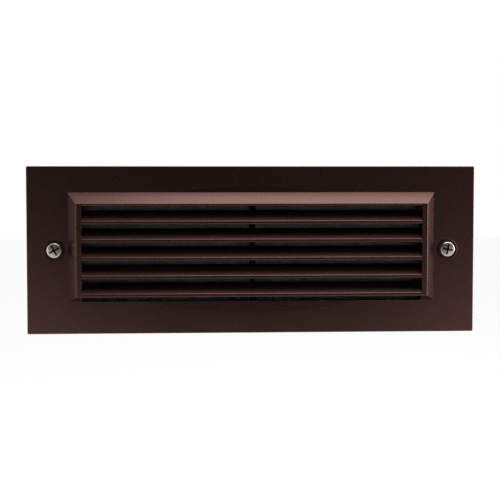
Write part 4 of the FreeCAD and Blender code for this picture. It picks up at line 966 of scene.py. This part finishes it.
# %% [markdown]
# The floor glows white in the same way, with a little plain paper mixed in, so that it still
# catches a shadow. The bronze is half a mirror, so what stands round it matters as much as the
# lamps. A black card between the camera and the light keeps the flat front deep. It is hidden from
# the camera and casts no shadow, so it shows only in reflections.

# %% Floor and card
FLOOR_HEIGHT, FLOOR_REACH = -0.20, 4.0
PAPER_GLOW, GLOW_SHARE = 1.06, 0.9  # strength of the floor's own white, and its share in the mix
CARD_Y = -0.6
CARD_OUTLINE = (  # (x, z) round the card: low and narrow in the middle, high and wide above
    (-0.06, -0.166), (0.12, -0.166), (0.55, 0.09), (1.3, 0.5),
    (1.3, 1.0), (-1.3, 1.0), (-1.3, 0.5), (-0.45, 0.09),
)


def plane(name, corners):
    """A single flat face through its corners, as an object of the stage."""
    mesh = bpy.data.meshes.new(name)
    mesh.from_pydata(corners, [], [range(len(corners))])
    piece = bpy.data.objects.new(name, mesh)
    bpy.context.scene.collection.objects.link(piece)
    return piece


floor_corners = FLOOR_REACH * np.array([(-1, -1), (1, -1), (1, 1), (-1, 1)])
floor = plane("floor", [(*corner, FLOOR_HEIGHT) for corner in floor_corners.tolist()])
tree, _ = start_finish("floor", "white_paper_floor")
paper = add_node(tree, "ShaderNodeBsdfDiffuse", {"Color": linear("#E8E8E8")})
glow = add_node(
    tree,
    "ShaderNodeEmission",
    {"Color": WHITE, "Strength": white_to_the_eye(tree, 0, PAPER_GLOW)},
)
lit = add_node(
    tree, "ShaderNodeMixShader", {0: GLOW_SHARE, 1: paper.outputs[0], 2: glow.outputs[0]}
)
add_node(tree, "ShaderNodeOutputMaterial", {"Surface": lit.outputs[0]})
floor.data.materials.append(finishes["floor"])

card = plane("black_card", [(x, CARD_Y, z) for x, z in CARD_OUTLINE])
tree, _ = start_finish("card", "black_card_matte")
end_finish(tree, {"Base Color": linear("#0A0A0A"), "Roughness": 0.9})
card.data.materials.append(finishes["card"])
card.visible_camera = False
card.visible_shadow = False
print("floor and card ready")

# %% [markdown]
# A soft box is a lamp behind stretched white cloth, so it gives even light from a large face, and
# an Area lamp is just that. The large one overhead draws the bright lines on the blades and the top
# bevel, and the two at the sides pick out the upright bevels, the right one brighter. Each is set
# by the radiance of its face, because that is what a reflection shows, and its power follows.

# %% Soft boxes
soft_boxes = {  # place and target in metres, width, height, radiance of the face
    "overhead_soft_box": ((0.46, -0.03, 0.75), (0.46, -0.03, 0.0), 1.1, 1.0, 2.6),
    "right_soft_box": ((0.8, 0.12, 0.1), (0.0, 0.0, 0.0), 0.7, 0.6, 8.0),
    "left_soft_box": ((-0.8, 0.12, 0.1), (0.0, 0.0, 0.0), 0.7, 0.8, 1.6),
}


def soft_box(name, place, target, width, height, radiance):
    """Area lamp that looks from its place at the target: power = radiance times area times pi."""
    lamp = bpy.data.lights.new(name, "AREA")
    lamp.shape = "RECTANGLE"
    lamp.size = width
    lamp.size_y = height
    lamp.energy = radiance * width * height * pi
    holder = bpy.data.objects.new(name, lamp)
    holder.location = place
    direction = Vector(target) - Vector(place)
    holder.rotation_euler = direction.to_track_quat("-Z", "Y").to_euler()
    bpy.context.scene.collection.objects.link(holder)
    return holder


for name, settings in soft_boxes.items():
    holder = soft_box(name, *settings)
    print(holder.name, round(holder.data.energy, 2), "watts")

# %% [markdown]
# ## Camera
# The camera stands where the photograph was taken: a little to the left, a little above, with a
# long lens that keeps the plate's edges nearly parallel.

# %% Camera
CAMERA_PLACE = (-0.0439, -0.6890, 0.0412)
CAMERA_TILT = radians(86.559)  # up from looking straight down
CAMERA_TURN = radians(-3.556)  # less than zero is to the right
LENS, SENSOR = 94.51, 36.0  # millimetres

lens_view = bpy.data.cameras.new("camera")
lens_view.lens = LENS
lens_view.sensor_width = SENSOR
camera = bpy.data.objects.new("camera", lens_view)
camera.location = CAMERA_PLACE
camera.rotation_euler = (CAMERA_TILT, 0, CAMERA_TURN)
bpy.context.scene.collection.objects.link(camera)
bpy.context.scene.camera = camera
bpy.context.scene.view_settings.view_transform = "Standard"
print("camera at", tuple(round(v, 3) for v in camera.location))
